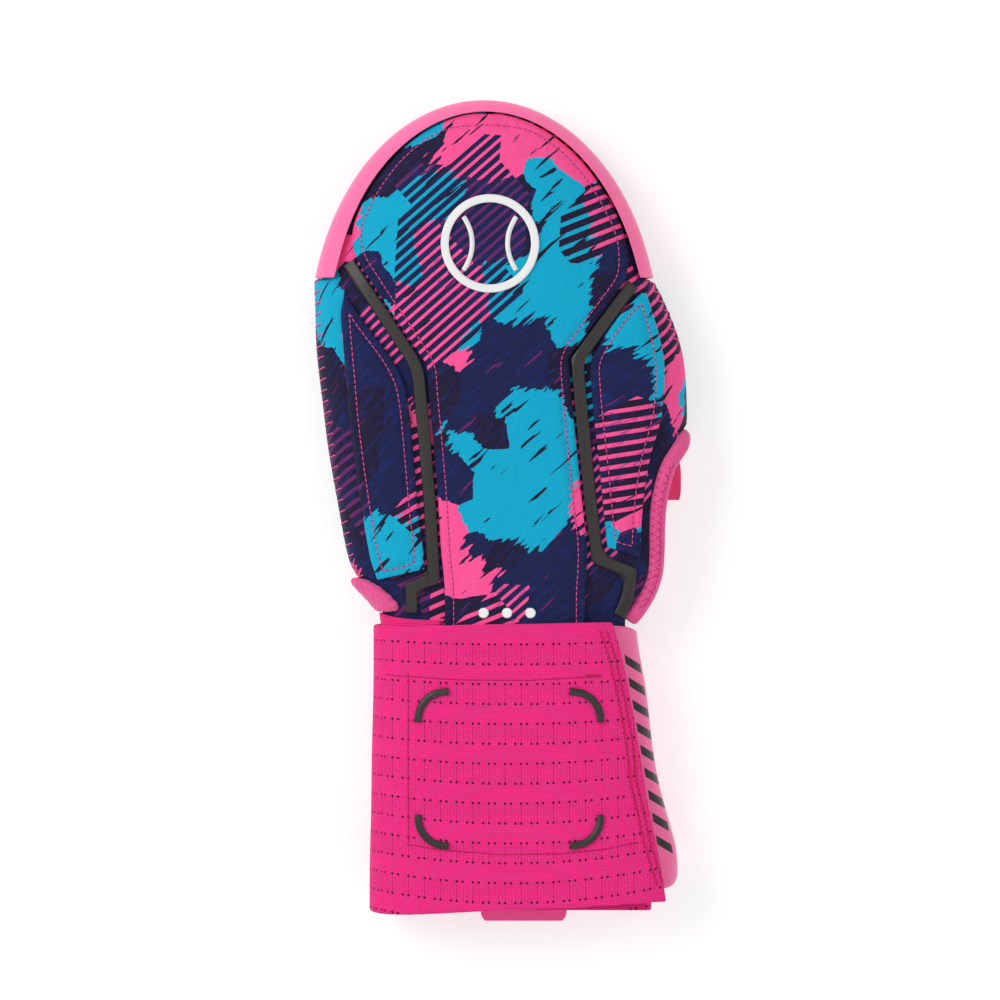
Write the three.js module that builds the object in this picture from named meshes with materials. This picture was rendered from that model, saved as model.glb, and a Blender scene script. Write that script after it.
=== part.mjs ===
import * as THREE from 'three';

// A padded sliding mitt, lying palm down. All sizes are in millimetres.
// +Y runs to the fingertips, +X across the hand to the thumb side, +Z up from the palm.

// Length and width of the whole mitt.
const MITT_LENGTH = 300;
const HAND_HALF_WIDTH = 64;
const STRAP_WIDTH = 101.6;
const PULL_TAB_REACH = 8;

// The rounded fingertip end: half an ellipse in plan, a little to the left of the middle.
const TIP_ROUND_LENGTH = 87.6;
const TIP_AXIS_X = -5.8;

// Heights above the ground, and how square the cross-section is.
const COVER_HEIGHT = 34.5;
const SEAM_HEIGHT = 17;
const BACK_ROUNDNESS = 3;
const PALM_ROUNDNESS = 4;

// Walls, layers and the clearance between neighbouring pieces.
const CLEARANCE = 0.35;
const BACK_WALL = 2.5;
const PALM_WALL = 2.7;
const PANEL_THICKNESS = 2.8;
const PANEL_SEAT = 0.5;
const PANEL_EDGE_ROUND = 3;
const RIM_WALL = 3;
const RIM_LIP_WIDTH = 8.5;
const PAD_THICKNESS = 3;
const PAD_INSET = 13;
const STRAP_THICKNESS = 2.4;
const TAB_THICKNESS = 1.8;
const ANCHOR_THICKNESS = 1.5;
const LINING_THICKNESS = 1.2;
const LINING_LENGTH = 26;
const LINING_SEAT = 1.2;
const STRIP_WIDTH = 4.5;
const STRIP_HEIGHT = 2.2;
const BINDING_WIDTH = 5;
const BINDING_THICKNESS = 4;
const GUSSET_THICKNESS = 2.6;
const THUMB_TAB_THICKNESS = 2.2;

// Raised decoration: a ball outline with two seams, three dots and four corner arcs.
const RELIEF = 1.1;
const BALL_RADIUS = 18;
const BALL_LINE = 3;
const DOT_RADIUS = 2.1;
const DOT_SPACING = 8.5;
const ARC_RADIUS = 10;
const ARC_LINE = 2.6;

// Places that follow from the sizes above.
const TIP_Y = MITT_LENGTH / 2;
const STRAP_BOTTOM_Y = PULL_TAB_REACH - MITT_LENGTH / 2;
const STRAP_TOP_Y = STRAP_BOTTOM_Y + STRAP_WIDTH;
const HAND_LENGTH = TIP_Y - STRAP_TOP_Y;
const TIP_CENTRE_Y = TIP_Y - TIP_ROUND_LENGTH;
const RIM_STEP = RIM_WALL + CLEARANCE;
const TIP_HALF_WIDTH = HAND_HALF_WIDTH - RIM_STEP;
const TIP_HALF_LENGTH = TIP_ROUND_LENGTH - RIM_STEP;
const HAND_PALM_Z = PAD_THICKNESS + CLEARANCE;
const WRIST_PALM_Z = STRAP_THICKNESS + TAB_THICKNESS + 2 * CLEARANCE;
const PANEL_TOP = PANEL_SEAT + PANEL_THICKNESS;

// Edges of the cover beside the hand: `up` is a share of the hand's length above the strap,
// `left` and `right` are shares of the hand's half width.
const HAND_SIDES = [
  { up: 0.656, left: -1.057, right: 0.875 },
  { up: 0.598, left: -1.049, right: 0.952 },
  { up: 0.521, left: -1.044, right: 1.038 },
  { up: 0.425, left: -1.009, right: 1.061 },
  { up: 0.329, left: -0.975, right: 1.061 },
  { up: 0.233, left: -0.924, right: 1.038 },
  { up: 0.157, left: -0.884, right: 0.981 },
  { up: 0.118, left: -0.858, right: 0.947 },
  { up: 0.099, left: -0.841, right: 0.918 },
  { up: 0.08, left: -0.798, right: 0.895 },
  { up: 0.061, left: -0.753, right: 0.861 },
  { up: 0.042, left: -0.701, right: 0.827 },
  { up: 0.02, left: -0.656, right: 0.787 },
  { up: 0, left: -0.639, right: 0.741 },
];

// Edges of the cover under the strap: `down` is a share of the strap's width below its top edge.
const WRIST_SIDES = [
  { down: 0, left: -0.639, right: 0.741 },
  { down: 0.084, left: -0.639, right: 0.747 },
  { down: 0.242, left: -0.639, right: 0.798 },
  { down: 0.472, left: -0.65, right: 0.833 },
  { down: 0.612, left: -0.65, right: 0.878 },
  { down: 0.77, left: -0.656, right: 0.952 },
  { down: 0.863, left: -0.662, right: 0.981 },
  { down: 0.975, left: -0.662, right: 0.958 },
];

// Height of the back along the mitt, as a share of the cover's height.
const BACK_RISE = [
  { up: 1, rise: 1 },
  { up: 0.6, rise: 1 },
  { up: 0.3, rise: 0.985 },
  { up: 0.1, rise: 0.945 },
  { up: 0, rise: 0.915 },
  { up: -0.1, rise: 0.9 },
  { up: -0.54, rise: 0.87 },
];

// Edge of the thumb opening, cut into the right side of both covers.
const THUMB_EDGE = [
  { up: 0.371, across: 1.049 },
  { up: 0.348, across: 1.004 },
  { up: 0.32, across: 0.93 },
  { up: 0.281, across: 0.887 },
  { up: 0.235, across: 0.855 },
  { up: 0.199, across: 0.844 },
  { up: 0.118, across: 0.844 },
  { up: 0.08, across: 0.833 },
  { up: 0.047, across: 0.781 },
  { up: 0.022, across: 0.719 },
  { up: 0, across: 0.69 },
];

// Width of the rim's lip round the fingertip end, from its right end (turn 0) to its left (turn 1).
const RIM_LIP = [
  { turn: 0, width: 0.65 },
  { turn: 0.25, width: 0.6 },
  { turn: 0.5, width: 0.54 },
  { turn: 0.7, width: 0.72 },
  { turn: 1, width: 1 },
];

// Middle lines of the two channel strips, from the rim down to the strap.
const STRIP_LEFT = [
  { across: -0.861, up: 0.686 },
  { across: -0.468, up: 0.488 },
  { across: -0.433, up: 0.367 },
  { across: -0.399, up: 0.233 },
  { across: -0.376, up: 0.084 },
  { across: -0.502, up: 0.066 },
  { across: -0.502, up: 0.018 },
];
const STRIP_RIGHT = [
  { across: 0.756, up: 0.645 },
  { across: 0.439, up: 0.5 },
  { across: 0.456, up: 0.425 },
  { across: 0.513, up: 0.233 },
  { across: 0.553, up: 0.122 },
  { across: 0.741, up: 0.095 },
  { across: 0.73, up: 0.045 },
  { across: 0.679, up: 0.012 },
];

// Rungs across the two side panels, from the pointed end at the rim to the straight end at the wrist.
const SIDE_PANEL_LEFT = [
  { left: -0.884, leftUp: 0.624, right: -0.867, rightUp: 0.617 },
  { left: -0.907, leftUp: 0.59, right: -0.741, rightUp: 0.559 },
  { left: -0.895, leftUp: 0.544, right: -0.616, rightUp: 0.505 },
  { left: -0.878, leftUp: 0.479, right: -0.536, rightUp: 0.454 },
  { left: -0.855, leftUp: 0.385, right: -0.508, rightUp: 0.385 },
  { left: -0.821, leftUp: 0.295, right: -0.485, rightUp: 0.295 },
  { left: -0.781, leftUp: 0.203, right: -0.462, rightUp: 0.203 },
  { left: -0.736, leftUp: 0.118, right: -0.433, rightUp: 0.13 },
  { left: -0.696, leftUp: 0.08, right: -0.428, rightUp: 0.101 },
];
const SIDE_PANEL_RIGHT = [
  { left: 0.804, leftUp: 0.628, right: 0.833, rightUp: 0.628 },
  { left: 0.696, leftUp: 0.594, right: 0.867, rightUp: 0.59 },
  { left: 0.593, leftUp: 0.546, right: 0.907, rightUp: 0.546 },
  { left: 0.508, leftUp: 0.498, right: 0.935, rightUp: 0.502 },
  { left: 0.519, leftUp: 0.444, right: 0.935, rightUp: 0.444 },
  { left: 0.53, leftUp: 0.4, right: 0.918, rightUp: 0.387 },
  { left: 0.559, leftUp: 0.31, right: 0.855, rightUp: 0.32 },
  { left: 0.576, leftUp: 0.252, right: 0.821, rightUp: 0.252 },
  { left: 0.593, leftUp: 0.191, right: 0.804, rightUp: 0.191 },
  { left: 0.61, leftUp: 0.143, right: 0.798, rightUp: 0.122 },
];

// Right-hand stitched end of the strap's front layer.
const STRAP_END = [
  { down: 0, across: 0.633 },
  { down: 0.127, across: 0.69 },
  { down: 0.289, across: 0.747 },
  { down: 0.45, across: 0.793 },
  { down: 0.569, across: 0.81 },
  { down: 0.659, across: 0.844 },
  { down: 0.795, across: 0.89 },
  { down: 0.928, across: 0.93 },
  { down: 1, across: 0.945 },
];

// Height that the strap's front layer gains where it passes over the centre panel.
const STRAP_LIFT = [
  { down: 0, lift: 1 },
  { down: 0.13, lift: 1 },
  { down: 0.22, lift: 0.3 },
  { down: 0.35, lift: 0 },
  { down: 1, lift: 0 },
];

// Middles of the four corner arcs on the strap, and the direction in which each one bulges.
const STRAP_ARCS = [
  { name: 'strap_arc_top_left', across: -0.31, down: 0.345, facing: 135 },
  { name: 'strap_arc_top_right', across: 0.415, down: 0.345, facing: 45 },
  { name: 'strap_arc_low_left', across: -0.31, down: 0.7, facing: 225 },
  { name: 'strap_arc_low_right', across: 0.415, down: 0.7, facing: 315 },
];

const mitt = new THREE.Group();
mitt.name = 'sliding_mitt';

const pinkRubber = { color: 0xff7daf, roughness: 0.5 };
const navyPrint = { color: 0x1e2350, roughness: 0.8 };
const blackRubber = { color: 0x302d2a, roughness: 0.6 };
const whiteRubber = { color: 0xe8e8e8, roughness: 0.5 };
const pinkCloth = { color: 0xe8579a, roughness: 0.85 };
const pinkWebbing = { color: 0xf03484, roughness: 0.85 };
const darkPink = { color: 0xe94a7c, roughness: 0.4 };

function lerp(a, b, share) {
  return a + (b - a) * share;
}

function spread(from, to, steps) {
  return Array.from({ length: steps + 1 }, (unused, i) => lerp(from, to, i / steps));
}

// Shares from 0 to 1 that crowd towards both ends.
function crowded(steps) {
  return spread(0, 1, steps).map((share) => 0.5 - 0.5 * Math.cos(Math.PI * share));
}

// Slope of a table's column at one row, for the smooth reading below.
function slopeAt(rows, key, column, i) {
  const before = rows[Math.max(0, i - 1)];
  const after = rows[Math.min(rows.length - 1, i + 1)];
  return (after[column] - before[column]) / (after[key] - before[key]);
}

// Smooth value of one column of a table at a place along its key column.
function readTable(table, key, column, at) {
  const rows = [...table].sort((a, b) => a[key] - b[key]);
  const place = THREE.MathUtils.clamp(at, rows[0][key], rows[rows.length - 1][key]);
  let i = 0;
  while (i < rows.length - 2 && rows[i + 1][key] < place) {
    i += 1;
  }
  const span = rows[i + 1][key] - rows[i][key];
  const t = (place - rows[i][key]) / span;
  const fromSlope = slopeAt(rows, key, column, i) * span;
  const toSlope = slopeAt(rows, key, column, i + 1) * span;
  const rise = rows[i + 1][column] - rows[i][column];
  return rows[i][column] + t * fromSlope
    + t * t * (3 * rise - 2 * fromSlope - toSlope)
    + t * t * t * (fromSlope + toSlope - 2 * rise);
}

function acrossToX(across) {
  return across * HAND_HALF_WIDTH;
}

function upToY(up) {
  return STRAP_TOP_Y + up * HAND_LENGTH;
}

function downToY(down) {
  return STRAP_TOP_Y - down * STRAP_WIDTH;
}

function yToUp(y) {
  return (y - STRAP_TOP_Y) / HAND_LENGTH;
}

function yToDown(y) {
  return (STRAP_TOP_Y - y) / STRAP_WIDTH;
}

const SHOULDER_Y = upToY(HAND_SIDES[0].up);
const SHOULDER_STEP = 1.2;
const WRIST_END_Y = downToY(WRIST_SIDES[WRIST_SIDES.length - 1].down);
const THUMB_TOP_Y = upToY(THUMB_EDGE[0].up);

// Left and right edges of the cover before the thumb opening is cut.
function coverSides(y) {
  if (y >= SHOULDER_Y) {
    const v = Math.min(1, (y - TIP_CENTRE_Y) / TIP_HALF_LENGTH);
    const half = TIP_HALF_WIDTH * Math.sqrt(1 - v * v);
    return { left: TIP_AXIS_X - half, right: TIP_AXIS_X + half };
  }
  if (y > SHOULDER_Y - SHOULDER_STEP) {
    const below = coverSides(SHOULDER_Y - SHOULDER_STEP);
    const above = coverSides(SHOULDER_Y);
    const share = 1 - (SHOULDER_Y - y) / SHOULDER_STEP;
    return { left: lerp(below.left, above.left, share), right: lerp(below.right, above.right, share) };
  }
  const onStrap = y < STRAP_TOP_Y;
  const table = onStrap ? WRIST_SIDES : HAND_SIDES;
  const key = onStrap ? 'down' : 'up';
  const at = onStrap ? yToDown(y) : yToUp(y);
  return {
    left: acrossToX(readTable(table, key, 'left', at)),
    right: acrossToX(readTable(table, key, 'right', at)),
  };
}

// Right edge of the covers once the thumb opening is cut.
function thumbEdgeX(y) {
  const side = coverSides(y).right;
  if (y >= THUMB_TOP_Y) {
    return side;
  }
  const cut = acrossToX(readTable(THUMB_EDGE, 'up', 'across', yToUp(y)));
  const closing = THREE.MathUtils.smoothstep(-y, -STRAP_TOP_Y, -STRAP_TOP_Y + 0.1 * STRAP_WIDTH);
  return Math.min(side, lerp(cut, side, closing));
}

function crownAt(y) {
  return COVER_HEIGHT * readTable(BACK_RISE, 'up', 'rise', yToUp(y));
}

function palmAt(y) {
  const share = THREE.MathUtils.smoothstep(y, upToY(0.01), upToY(0.12));
  return lerp(WRIST_PALM_Z, HAND_PALM_Z, share);
}

// How far out a place lies in plan: 0 on the middle line, 1 at the side seam.
function reachShare(x, y) {
  const v = Math.max(0, (y - TIP_CENTRE_Y) / TIP_HALF_LENGTH);
  if (y >= SHOULDER_Y) {
    return Math.min(1, Math.hypot((x - TIP_AXIS_X) / TIP_HALF_WIDTH, v));
  }
  const sides = coverSides(y);
  const u = (2 * x - sides.left - sides.right) / (sides.right - sides.left);
  return Math.min(1, Math.hypot(u * Math.sqrt(1 - v * v), v));
}

function domeShare(reach, roundness) {
  return (1 - reach ** roundness) ** (1 / roundness);
}

// Height of the cover's outer face on the back of the hand.
function backHeight(x, y) {
  return SEAM_HEIGHT + (crownAt(y) - SEAM_HEIGHT) * domeShare(reachShare(x, y), BACK_ROUNDNESS);
}

// Closed solid between an outer and an inner grid of points. With `ring` the columns close on themselves.
function sheetGeometry(columns, rows, outer, inner, ring = false) {
  const positions = [];
  for (const face of [outer, inner]) {
    for (const v of rows) {
      for (const u of columns) {
        positions.push(...face(u, v));
      }
    }
  }
  const index = [];
  const at = (layer, i, j) => (layer * rows.length + j) * columns.length + (i % columns.length);
  const quad = (a, b, c, d) => index.push(a, b, c, a, c, d);
  const spans = ring ? columns.length : columns.length - 1;
  const top = rows.length - 1;
  for (let i = 0; i < spans; i += 1) {
    for (let j = 0; j < top; j += 1) {
      quad(at(0, i, j), at(0, i + 1, j), at(0, i + 1, j + 1), at(0, i, j + 1));
      quad(at(1, i, j), at(1, i, j + 1), at(1, i + 1, j + 1), at(1, i + 1, j));
    }
    quad(at(0, i, 0), at(1, i, 0), at(1, i + 1, 0), at(0, i + 1, 0));
    quad(at(0, i, top), at(0, i + 1, top), at(1, i + 1, top), at(1, i, top));
  }
  for (let j = 0; j < top && !ring; j += 1) {
    quad(at(0, 0, j), at(0, 0, j + 1), at(1, 0, j + 1), at(1, 0, j));
    quad(at(0, spans, j), at(1, spans, j), at(1, spans, j + 1), at(0, spans, j + 1));
  }
  return facingOut(positions, index);
}

// Geometry whose faces are turned to point out of the solid.
function facingOut(positions, index) {
  const corner = (k) => new THREE.Vector3().fromArray(positions, 3 * index[k]);
  let volume = 0;
  for (let k = 0; k < index.length; k += 3) {
    volume += corner(k).dot(corner(k + 1).cross(corner(k + 2)));
  }
  if (volume < 0) {
    index.reverse();
  }
  const geometry = new THREE.BufferGeometry();
  geometry.setAttribute('position', new THREE.Float32BufferAttribute(positions, 3));
  geometry.setIndex(index);
  geometry.computeVertexNormals();
  return geometry;
}

function addPiece(name, geometry, look) {
  const material = new THREE.MeshStandardMaterial({ ...look, metalness: 0 });
  const mesh = new THREE.Mesh(geometry, material);
  mesh.name = name;
  mitt.add(mesh);
}

// Rows for the covers: close together at the neck, the thumb opening and the fingertip end.
function coverRows(handSteps, tipSteps) {
  const wrist = spread(WRIST_END_Y, upToY(-0.06), 6);
  const hand = spread(upToY(-0.03), upToY(0.38), handSteps);
  const middle = spread(upToY(0.44), SHOULDER_Y - SHOULDER_STEP, 4);
  const turnStart = Math.asin((SHOULDER_Y - TIP_CENTRE_Y) / TIP_HALF_LENGTH);
  const turns = spread(turnStart, 1.4, tipSteps);
  const tip = turns.map((turn) => TIP_CENTRE_Y + TIP_HALF_LENGTH * Math.sin(turn));
  tip[0] = SHOULDER_Y;
  return [...wrist, ...hand, ...middle, ...tip];
}

// One face of a cover, from the left seam (column 0) to the right seam or the thumb opening (column 1).
// `inset` is the depth of that face inside the cover's outer face.
function coverFace(side, inset) {
  const roundness = side > 0 ? BACK_ROUNDNESS : PALM_ROUNDNESS;
  const seam = SEAM_HEIGHT + side * CLEARANCE / 2;
  return (u, y) => {
    const sides = coverSides(y);
    const middle = (sides.left + sides.right) / 2;
    const half = (sides.right - sides.left) / 2;
    const limit = (thumbEdgeX(y) - middle) / half;
    const lastAngle = Math.acos(Math.sign(limit) * Math.abs(limit) ** (roundness / 2));
    const angle = lerp(Math.PI, lastAngle, u);
    const cosine = Math.cos(angle);
    const along = Math.sign(cosine) * Math.abs(cosine) ** (2 / roundness);
    const x = middle + along * half;
    const depth = Math.abs((side > 0 ? crownAt(y) : palmAt(y)) - seam);
    const rise = domeShare(reachShare(x, y), roundness);
    const shrink = 1 - inset / half;
    return [middle + along * half * shrink, y, seam + side * (depth - inset) * rise];
  };
}

addPiece(
  'back_shell',
  sheetGeometry(spread(0, 1, 13), coverRows(12, 9), coverFace(1, 0), coverFace(1, BACK_WALL)),
  navyPrint,
);
addPiece(
  'palm_shell',
  sheetGeometry(spread(0, 1, 10), coverRows(10, 7), coverFace(-1, 0), coverFace(-1, PALM_WALL)),
  navyPrint,
);

// Plan radius of the rim's outline and the width of its lip at one direction round the fingertip end.
function rimAt(turn) {
  const outline = Math.hypot(HAND_HALF_WIDTH * Math.cos(turn), TIP_ROUND_LENGTH * Math.sin(turn));
  const lip = RIM_LIP_WIDTH * readTable(RIM_LIP, 'turn', 'width', turn / Math.PI);
  return { outline, lip };
}

// The rim's outer and inner faces: `v` runs from the lip on the back, over the outline, to the palm lip.
function rimFace(grow) {
  const halfWidth = TIP_HALF_WIDTH + grow;
  const halfLength = TIP_HALF_LENGTH + grow;
  return (u, v) => {
    const start = Math.asin((SHOULDER_Y + CLEARANCE - TIP_CENTRE_Y) / TIP_ROUND_LENGTH);
    const turn = lerp(start, Math.PI - start, u);
    const { outline, lip } = rimAt(turn);
    const onBack = v <= 0.6;
    const roundness = onBack ? BACK_ROUNDNESS : PALM_ROUNDNESS;
    const shown = onBack ? lip : 0.6 * lip;
    const reach = (outline - shown) / (outline - RIM_STEP + grow);
    const steepest = Math.acos(Math.min(0.995, reach) ** (roundness / 2));
    const angle = onBack ? steepest * (1 - v / 0.6) : steepest * (v - 0.6) / 0.4;
    const ray = Math.cos(angle) ** (2 / roundness);
    const rise = Math.sin(angle) ** (2 / roundness);
    const y = TIP_CENTRE_Y + halfLength * ray * Math.sin(turn);
    const x = TIP_AXIS_X + halfWidth * ray * Math.cos(turn);
    const height = onBack ? crownAt(y) - SEAM_HEIGHT : SEAM_HEIGHT - palmAt(y);
    const z = SEAM_HEIGHT + (onBack ? 1 : -1) * (height + grow) * rise;
    return [x, Math.max(y, SHOULDER_Y + CLEARANCE), z];
  };
}

const rimRows = [0, 0.12, 0.28, 0.44, 0.6, 0.75, 0.88, 1];
addPiece(
  'tip_bumper',
  sheetGeometry(spread(0, 1, 28), rimRows, rimFace(RIM_STEP), rimFace(CLEARANCE)),
  pinkRubber,
);

// Middle line of a strip: x at a height along the hand, read straight between its points and beyond them.
function stripX(strip, y) {
  const points = strip.slice(0, 5).map((row) => ({ x: acrossToX(row.across), y: upToY(row.up) }));
  let i = 0;
  while (i < points.length - 2 && points[i + 1].y > y) {
    i += 1;
  }
  const share = (points[i].y - y) / (points[i].y - points[i + 1].y);
  const slope = (points[i + 1].x - points[i].x) / (points[i + 1].y - points[i].y);
  return { x: lerp(points[i].x, points[i + 1].x, share), stretch: Math.hypot(1, slope) };
}

// The lip's inner edge in plan, on the left (side -1) or the right (side 1), with a margin inside it.
function lipEdgeX(side, y, margin) {
  let turn = side > 0 ? Math.asin((y - TIP_CENTRE_Y) / TIP_ROUND_LENGTH) : 0;
  let reach = 1;
  turn = side > 0 ? turn : Math.PI - Math.asin((y - TIP_CENTRE_Y) / TIP_ROUND_LENGTH);
  for (let pass = 0; pass < 8; pass += 1) {
    const { outline, lip } = rimAt(turn);
    reach = 1 - (lip + margin) / outline;
    const lean = Math.asin(Math.min(1, (y - TIP_CENTRE_Y) / (TIP_ROUND_LENGTH * reach)));
    turn = side > 0 ? lean : Math.PI - lean;
  }
  return TIP_AXIS_X + HAND_HALF_WIDTH * reach * Math.cos(turn);
}

// Edge of the centre panel on one side: inside the rim's lip and clear of the channel strip.
function centrePanelX(side, y) {
  const line = stripX(side > 0 ? STRIP_RIGHT : STRIP_LEFT, Math.max(y, upToY(0.122)));
  const margin = STRIP_WIDTH / 2 + 2.4 * CLEARANCE;
  const beside = line.x - side * margin * line.stretch;
  const low = y < upToY(0.1) ? -side * 0.3 * STRIP_WIDTH : 0;
  if (y < SHOULDER_Y) {
    return beside + low;
  }
  const lip = lipEdgeX(side, y, 2 * CLEARANCE);
  return side > 0 ? Math.min(beside, lip) : Math.max(beside, lip);
}

// Pillow shape of a padded panel: lift of its top face at a distance from its nearest edge.
function pillow(distance) {
  const share = Math.min(1, distance / PANEL_EDGE_ROUND);
  return Math.sqrt(share * (2 - share));
}

// Padded panel over the back, spanned between rungs that each have a left and a right plan point.
function panelGeometry(rungs, steps) {
  const plan = (u, j) => {
    const { left, right } = rungs[j];
    return [lerp(left[0], right[0], u), lerp(left[1], right[1], u)];
  };
  const edgeDistance = (u, j) => {
    const { left, right } = rungs[j];
    const width = Math.hypot(right[0] - left[0], right[1] - left[1]);
    const ends = [rungs[0], rungs[rungs.length - 1]].map((rung) => {
      const y = lerp(rung.left[1], rung.right[1], u);
      return Math.abs(plan(u, j)[1] - y);
    });
    return Math.min(u * width, (1 - u) * width, ...ends);
  };
  const top = (u, j) => {
    const [x, y] = plan(u, j);
    const full = pillow(edgeDistance(u, j));
    return [x, y, backHeight(x, y) + PANEL_SEAT + PANEL_THICKNESS * lerp(0.5, 1, full)];
  };
  const bottom = (u, j) => {
    const [x, y] = plan(u, j);
    const full = pillow(edgeDistance(u, j));
    return [x, y, backHeight(x, y) + PANEL_SEAT * lerp(1.7, 1, full)];
  };
  return sheetGeometry(crowded(steps), rungs.map((rung, j) => j), top, bottom);
}

// Rungs of the centre panel, from under the strap to the fingertip end.
function centrePanelRungs() {
  const topReach = 1 - (rimAt(Math.PI / 2).lip + 2 * CLEARANCE) / TIP_ROUND_LENGTH;
  const topY = TIP_CENTRE_Y + TIP_ROUND_LENGTH * topReach;
  const corners = [STRIP_LEFT[1].up, STRIP_RIGHT[1].up, STRIP_LEFT[2].up, STRIP_RIGHT[2].up].map(upToY);
  const even = [upToY(-0.062), upToY(-0.05), ...spread(upToY(-0.03), SHOULDER_Y, 13)];
  const low = [...even, ...corners, SHOULDER_Y - SHOULDER_STEP].sort((a, b) => a - b);
  const turns = [0.42, 0.58, 0.74, 0.9, 1.04, 1.17, 1.28, 1.37, 1.44, 1.49];
  const high = turns.map((turn) => TIP_CENTRE_Y + (topY - TIP_CENTRE_Y) * Math.sin(turn));
  return [...low, ...high].map((y) => ({ left: [centrePanelX(-1, y), y], right: [centrePanelX(1, y), y] }));
}

function sidePanelRungs(table) {
  return table.map((row) => ({
    left: [acrossToX(row.left), upToY(row.leftUp)],
    right: [acrossToX(row.right), upToY(row.rightUp)],
  }));
}

// Rungs with one more between each pair, so that a long panel follows the back.
function doubled(rungs) {
  const middle = (a, b) => [(a[0] + b[0]) / 2, (a[1] + b[1]) / 2];
  return rungs.flatMap((rung, i) => {
    const next = rungs[i + 1];
    if (!next) {
      return [rung];
    }
    return [rung, { left: middle(rung.left, next.left), right: middle(rung.right, next.right) }];
  });
}

addPiece('centre_panel', panelGeometry(centrePanelRungs(), 12), navyPrint);
addPiece('side_panel_left', panelGeometry(doubled(sidePanelRungs(SIDE_PANEL_LEFT)), 6), navyPrint);
addPiece('side_panel_right', panelGeometry(doubled(sidePanelRungs(SIDE_PANEL_RIGHT)), 6), navyPrint);

// Points along a broken line in plan, no further apart than `step`, with the line's own corners kept.
function stepAlong(points, step) {
  return points.flatMap((point, i) => {
    const next = points[i + 1];
    if (!next) {
      return [point];
    }
    const count = Math.max(1, Math.round(point.distanceTo(next) / step));
    return spread(0, 1, count).slice(0, -1).map((share) => point.clone().lerp(next, share));
  });
}

// Rungs across a ribbon of a given width that follows a plan line, mitred at the corners.
function ribbonRungs(points, width) {
  return points.map((point, i) => {
    const before = points[Math.max(0, i - 1)];
    const after = points[Math.min(points.length - 1, i + 1)];
    const into = (i > 0 ? point.clone().sub(before) : after.clone().sub(point)).normalize();
    const away = (i < points.length - 1 ? after.clone().sub(point) : point.clone().sub(before)).normalize();
    const heading = into.clone().add(away).normalize();
    const side = new THREE.Vector2(-heading.y, heading.x).multiplyScalar(width / 2 / heading.dot(into));
    const left = point.clone().add(side);
    const right = point.clone().sub(side);
    return { left: [left.x, left.y], right: [right.x, right.y] };
  });
}

// Ribbon that lies on a surface: flat underneath, rounded on top.
function ribbonGeometry(rungs, surface, seat, height, profile = [0, 0.2, 0.5, 0.8, 1]) {
  const face = (lift) => (u, j) => {
    const { left, right } = rungs[j];
    const x = lerp(left[0], right[0], u);
    const y = lerp(left[1], right[1], u);
    return [x, y, surface(x, y) + seat + lift(u)];
  };
  const round = (u) => height * lerp(0.45, 1, Math.sin(Math.PI * u) ** 0.6);
  return sheetGeometry(profile, rungs.map((rung, j) => j), face(round), face(() => 0));
}

function stripLine(strip) {
  const points = strip.map((row) => new THREE.Vector2(acrossToX(row.across), upToY(row.up)));
  return stepAlong(points, 9);
}

for (const [name, strip] of [['channel_strip_left', STRIP_LEFT], ['channel_strip_right', STRIP_RIGHT]]) {
  const rungs = ribbonRungs(stripLine(strip), STRIP_WIDTH);
  addPiece(name, ribbonGeometry(rungs, backHeight, PANEL_SEAT, STRIP_HEIGHT), blackRubber);
}

// Arc of a circle in plan, as points.
function arcLine(x, y, radius, fromDegrees, toDegrees, steps) {
  return spread(fromDegrees, toDegrees, steps).map((degrees) => {
    const angle = THREE.MathUtils.degToRad(degrees);
    return new THREE.Vector2(x + radius * Math.cos(angle), y + radius * Math.sin(angle));
  });
}

// The ball outline and its two seams on the centre panel.
const BALL_X = acrossToX(-0.057);
const BALL_Y = upToY(0.722);
const RELIEF_SEAT = PANEL_TOP + CLEARANCE;

function ballFace(lift) {
  return (angle, reach) => {
    const radius = BALL_RADIUS - reach * BALL_LINE;
    const x = BALL_X + radius * Math.cos(angle);
    const y = BALL_Y + radius * Math.sin(angle);
    return [x, y, backHeight(x, y) + RELIEF_SEAT + lift];
  };
}

const ballAngles = spread(0, 2 * Math.PI, 30).slice(0, -1);
addPiece(
  'emblem_ring',
  sheetGeometry(ballAngles, [0, 1], ballFace(RELIEF), ballFace(0), true),
  whiteRubber,
);
for (const [name, side] of [['emblem_seam_left', -1], ['emblem_seam_right', 1]]) {
  const middle = side > 0 ? 180 : 0;
  const line = arcLine(BALL_X + side * 1.25 * BALL_RADIUS, BALL_Y, 0.9 * BALL_RADIUS, middle - 37, middle + 37, 6);
  const rungs = ribbonRungs(line, 0.6 * BALL_LINE);
  addPiece(name, ribbonGeometry(rungs, backHeight, RELIEF_SEAT, RELIEF, [0, 0.5, 1]), whiteRubber);
}

// Three dots at the wrist end of the centre panel.
for (const [name, place] of [['neck_dot_left', -1], ['neck_dot_middle', 0], ['neck_dot_right', 1]]) {
  const x = acrossToX(0.04) + place * DOT_SPACING;
  const y = upToY(0.018);
  const base = backHeight(x, y) + RELIEF_SEAT;
  const dot = new THREE.CylinderGeometry(0.85 * DOT_RADIUS, DOT_RADIUS, RELIEF, 16);
  dot.rotateX(Math.PI / 2);
  dot.translate(x, y, base + RELIEF / 2);
  addPiece(name, dot, whiteRubber);
}

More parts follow.
